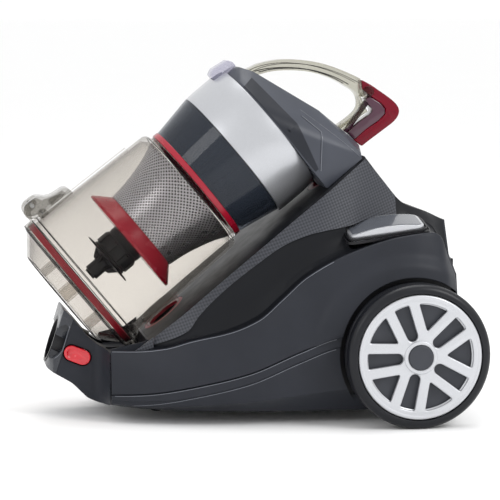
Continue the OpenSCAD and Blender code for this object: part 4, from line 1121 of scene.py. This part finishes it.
def handle_pieces():
    top = [(-6, 337), (6, 339.5), (20, 345.5), (39.7, 349), (60, 348.4), (80, 345), (100.4, 338),
           (121, 328.5), (138, 318)]
    corner = [(138, 318), (150, 309.6), (157, 302.5), (158.6, 295.5), (154, 287.6), (141.6, 278)]
    post = [(141.6, 278), (129.3, 269), (118, 260)]
    under = [(97, 282.5), (105.7, 288.2), (116, 297), (119, 305), (115.8, 315.1), (105.6, 322.2),
             (90.3, 330.2), (70, 336.3), (49.8, 338.4), (29.6, 337.5), (12, 333)]
    outline = smooth(top, 5) + smooth(corner, 5)[1:] + smooth(post, 3)[1:] + smooth(under, 5)
    grip_room = slab([(118.2, 331), (126, 329), (170, 336), (170, 250), (116, 250), (105.2, 266.2),
                      (122, 281.5), (135, 290), (141, 295.5), (141.5, 299), (137.5, 303), (126, 309.5),
                      (120.5, 318)], -14, 14)
    below = slab([(60, 262), (93.6, 283), (98, 281), (124, 258), (110, 240)], -14, 14)
    foot = bin_slab(rect(220, 40, 253.8, 100), -20, 20)
    rest = bin_slab(head_side(0.5), -20, 20)
    slot = slab([(124, 318), (137, 308), (110.5, 272.5), (97.5, 279.5)], -3.2, 3.2)
    pocket = slab([(106, 266), (122, 280), (135, 289), (142, 295), (142, 300), (138, 304), (126, 310.5),
                   (119, 312), (124.5, 300), (126, 297), (120.5, 293.5), (110, 285), (97, 275.5)], -14, 14)
    piece("handle_form", slab(outline, -13, 13), CLEAR_THICK, "bin", ["handle"],
          cuts=[grip_room, below, rest, foot, slot, pocket], bevel=3.2, segments=4, angle=50, sharp=40)
    hub = arc(127, 317, 5.6, 0, 345, 23)
    piece("trigger_hub", joined(slab(hub, 11.5, 13.4), slab(hub, -13.4, -11.5)), SMOKE, "bin", bevel=0.5,
          sharp=30)
    upper = smooth([(6, 335.8), (20, 342.0), (39.7, 345.4), (60, 344.8), (80, 341.2), (100.4, 334.2),
                    (118, 325.6)], 5)
    lower = smooth([(16, 337.4), (30, 340.2), (49.8, 341.0), (70, 338.9), (91, 332.6), (106.5, 324.8)], 5)
    lines = []
    for path, thick in ((upper, 0.6), (lower, 1.0)):
        strip = path + [(x, z - thick) for x, z in reversed(path)]
        lines += [slab(strip, y, y + 0.6) for y in (-13.1, 12.5)]
    piece("handle_lines", joined(*lines), CLEAR_EDGE, "bin")
    trigger_outer = smooth([(120.8, 328.4), (130, 323.4), (138, 318), (150, 309.6), (157, 302.5),
                            (158.6, 295.5), (154, 287.6), (141.6, 278), (129.3, 269), (121, 262.6)], 5)
    trigger_inner = [(113, 268.5), (125, 279), (138, 287.5), (144.5, 294), (145, 300), (140, 305.5),
                     (129, 312.5), (120.8, 319.5)]
    piece("trigger_form", slab(trigger_outer + trigger_inner, -11, 11), RED_CLEAR, "trigger",
          ["handle_trigger"], cuts=[bin_slab(head_side(1.8), -20, 20)], bevel=2.4, segments=3, angle=50,
          sharp=40)
    core = [(113.3, 269), (125.3, 279.6), (138, 288.2), (144, 294.4), (144.4, 299.8), (139.6, 305),
            (128.8, 311.8), (124, 309.5), (131, 299.5), (131.5, 297), (128, 293.5), (118, 286.5),
            (106.8, 276)]
    piece("trigger_core", slab(core, -10.4, 10.4), PLUM, "trigger", bevel=0.8, angle=40,
          sharp=40)
    piece("trigger_rod", slab([(129.5, 314.5), (134, 310.5), (107.8, 274.8), (103.6, 277.6)], -2.5, 2.5),
          PLUM, "trigger", bevel=0.6)
    clip = [(227, 66.4), (227.5, 75), (233, 77.8), (250, 75.6), (252.6, 71.5), (252.6, 66.4)]
    piece("clip_form", bin_slab(clip, -15, 15), LILAC, "clip", ["release_clip"], bevel=1.0, segments=3,
          angle=25)


def head_side(grow):
    return [(225, 68.4 + grow), (250, 68.4 + grow), (254 + grow, 64 + grow), (262 + grow, 51 + grow),
            (271 + grow, 18), (286 + grow, -17), (294.5 + grow, -60), (295.5 + grow, -70), (290, -90),
            (225, -90)]


head_pieces()
handle_pieces()


# ---------------------------------------------------------------- pedals
def pedal_pieces():
    for node_name, body, side in (("power_pedal", "power_key", -1), ("rewind_pedal", "rewind_key", 1)):
        block = prism(rounded(centred(PEDAL_X, PEDAL_Y), 8, 8), -9, 10)
        crown = placed(lathe(rect(CROWN_R, -50, CROWN_R + 70, 50), 360),
                       move(0, 0, -CROWN_DROP) @ turn("X", 90))
        room = prism(centred(PEDAL_X - 2.5, PEDAL_Y - 2.5), -11, -4.4)
        place = pedal_place(side)
        piece(f"{node_name}_form", placed(block, place), SILVER, body, [node_name],
              cuts=[placed(crown, place), placed(room, place)], bevel=1.4, segments=3, angle=40, sharp=30)
        top = [[(x, y * (15.2 - max(abs(x) - 29, 0) ** 2 / 9), math.sqrt(CROWN_R ** 2 - x * x) - CROWN_DROP)
                for y in steps(-1, 1, 6)] for x in steps(-34.4, 34.4, 40)]
        cover = sheet([[(x, y, z + 0.5) for x, y, z in row] for row in top],
                     [[(x, y, z - 0.4) for x, y, z in row] for row in top])
        piece(f"{node_name}_top", placed(cover, place), KEY_TOP, body, sharp=60)
        gasket = joined(*[ring_of(rounded(centred(a, b), 9, 6), 1.0, h)
                          for a, b, h in ((39.6, 20.6, -5.0), (41.8, 22.8, -7.4))])
        piece(f"{node_name}_gasket", placed(gasket, place), BLACK, "chassis")
        foot = place @ move(8, 0, -17.9)
        spring = piece(f"{body}_coil", placed(coil(5.2, 0.6, 13.2, 6), foot), STEEL, "chassis",
                       [node_name.replace("pedal", "spring")], sharp=80)
        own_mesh(spring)


pedal_pieces()


# ---------------------------------------------------------------- stage, light and camera
FLOOR_REACH = 60000
# name, place in metres, size in metres, power in watts
LAMPS = (
    ("key", (1.5, -1.5, 1.7), 0.8, 20),
    ("top", (0.2, 0.5, 2.2), 1.2, 14),
    ("side", (-1.6, -1.3, 1.1), 0.7, 5),
)


def stage():
    corners = [(x, y, 0) for x, y in centred(FLOOR_REACH, FLOOR_REACH)]
    floor = solid("floor", (corners, [[0, 1, 2, 3]]))
    mat, tree, principled = shader("floor_white", "", (0.95, 0.95, 0.95), 0.85, Specular_IOR_Level=0.2)
    painted(tree, principled, noise(tree, 3, 2), (0.945, 0.945, 0.945), (0.955, 0.955, 0.955))
    floor.data.materials.append(mat)
    world = bpy.data.worlds.new("studio")
    world.use_nodes = True
    world.node_tree.nodes["Background"].inputs["Color"].default_value = (1, 1, 1, 1)
    world.node_tree.nodes["Background"].inputs["Strength"].default_value = 1.0
    bpy.context.scene.world = world
    for name, place, size, power in LAMPS:
        light = bpy.data.lights.new(name, "AREA")
        light.size = size
        light.energy = power
        obj = added(name, light)
        obj.location = place
        obj.rotation_euler = (Vector((0, 0, 0.15)) - Vector(place)).to_track_quat("-Z", "Y").to_euler()


def camera():
    azimuth, elevation, distance = math.radians(-9), math.radians(6), 2.34
    aim = Vector((0.0095, 0, 0.159))
    away = Vector((math.sin(azimuth) * math.cos(elevation), -math.cos(azimuth) * math.cos(elevation),
                   math.sin(elevation)))
    data = bpy.data.cameras.new("camera")
    data.sensor_width = 36
    data.lens = 168.5
    obj = added("camera", data)
    obj.location = aim + away * distance
    obj.rotation_euler = (-away).to_track_quat("-Z", "Y").to_euler()
    bpy.context.scene.camera = obj


stage()
camera()
scene = bpy.context.scene
scene.view_settings.view_transform = "Standard"
scene.view_settings.exposure = 0.06
scene.cycles.transparent_max_bounces = 32
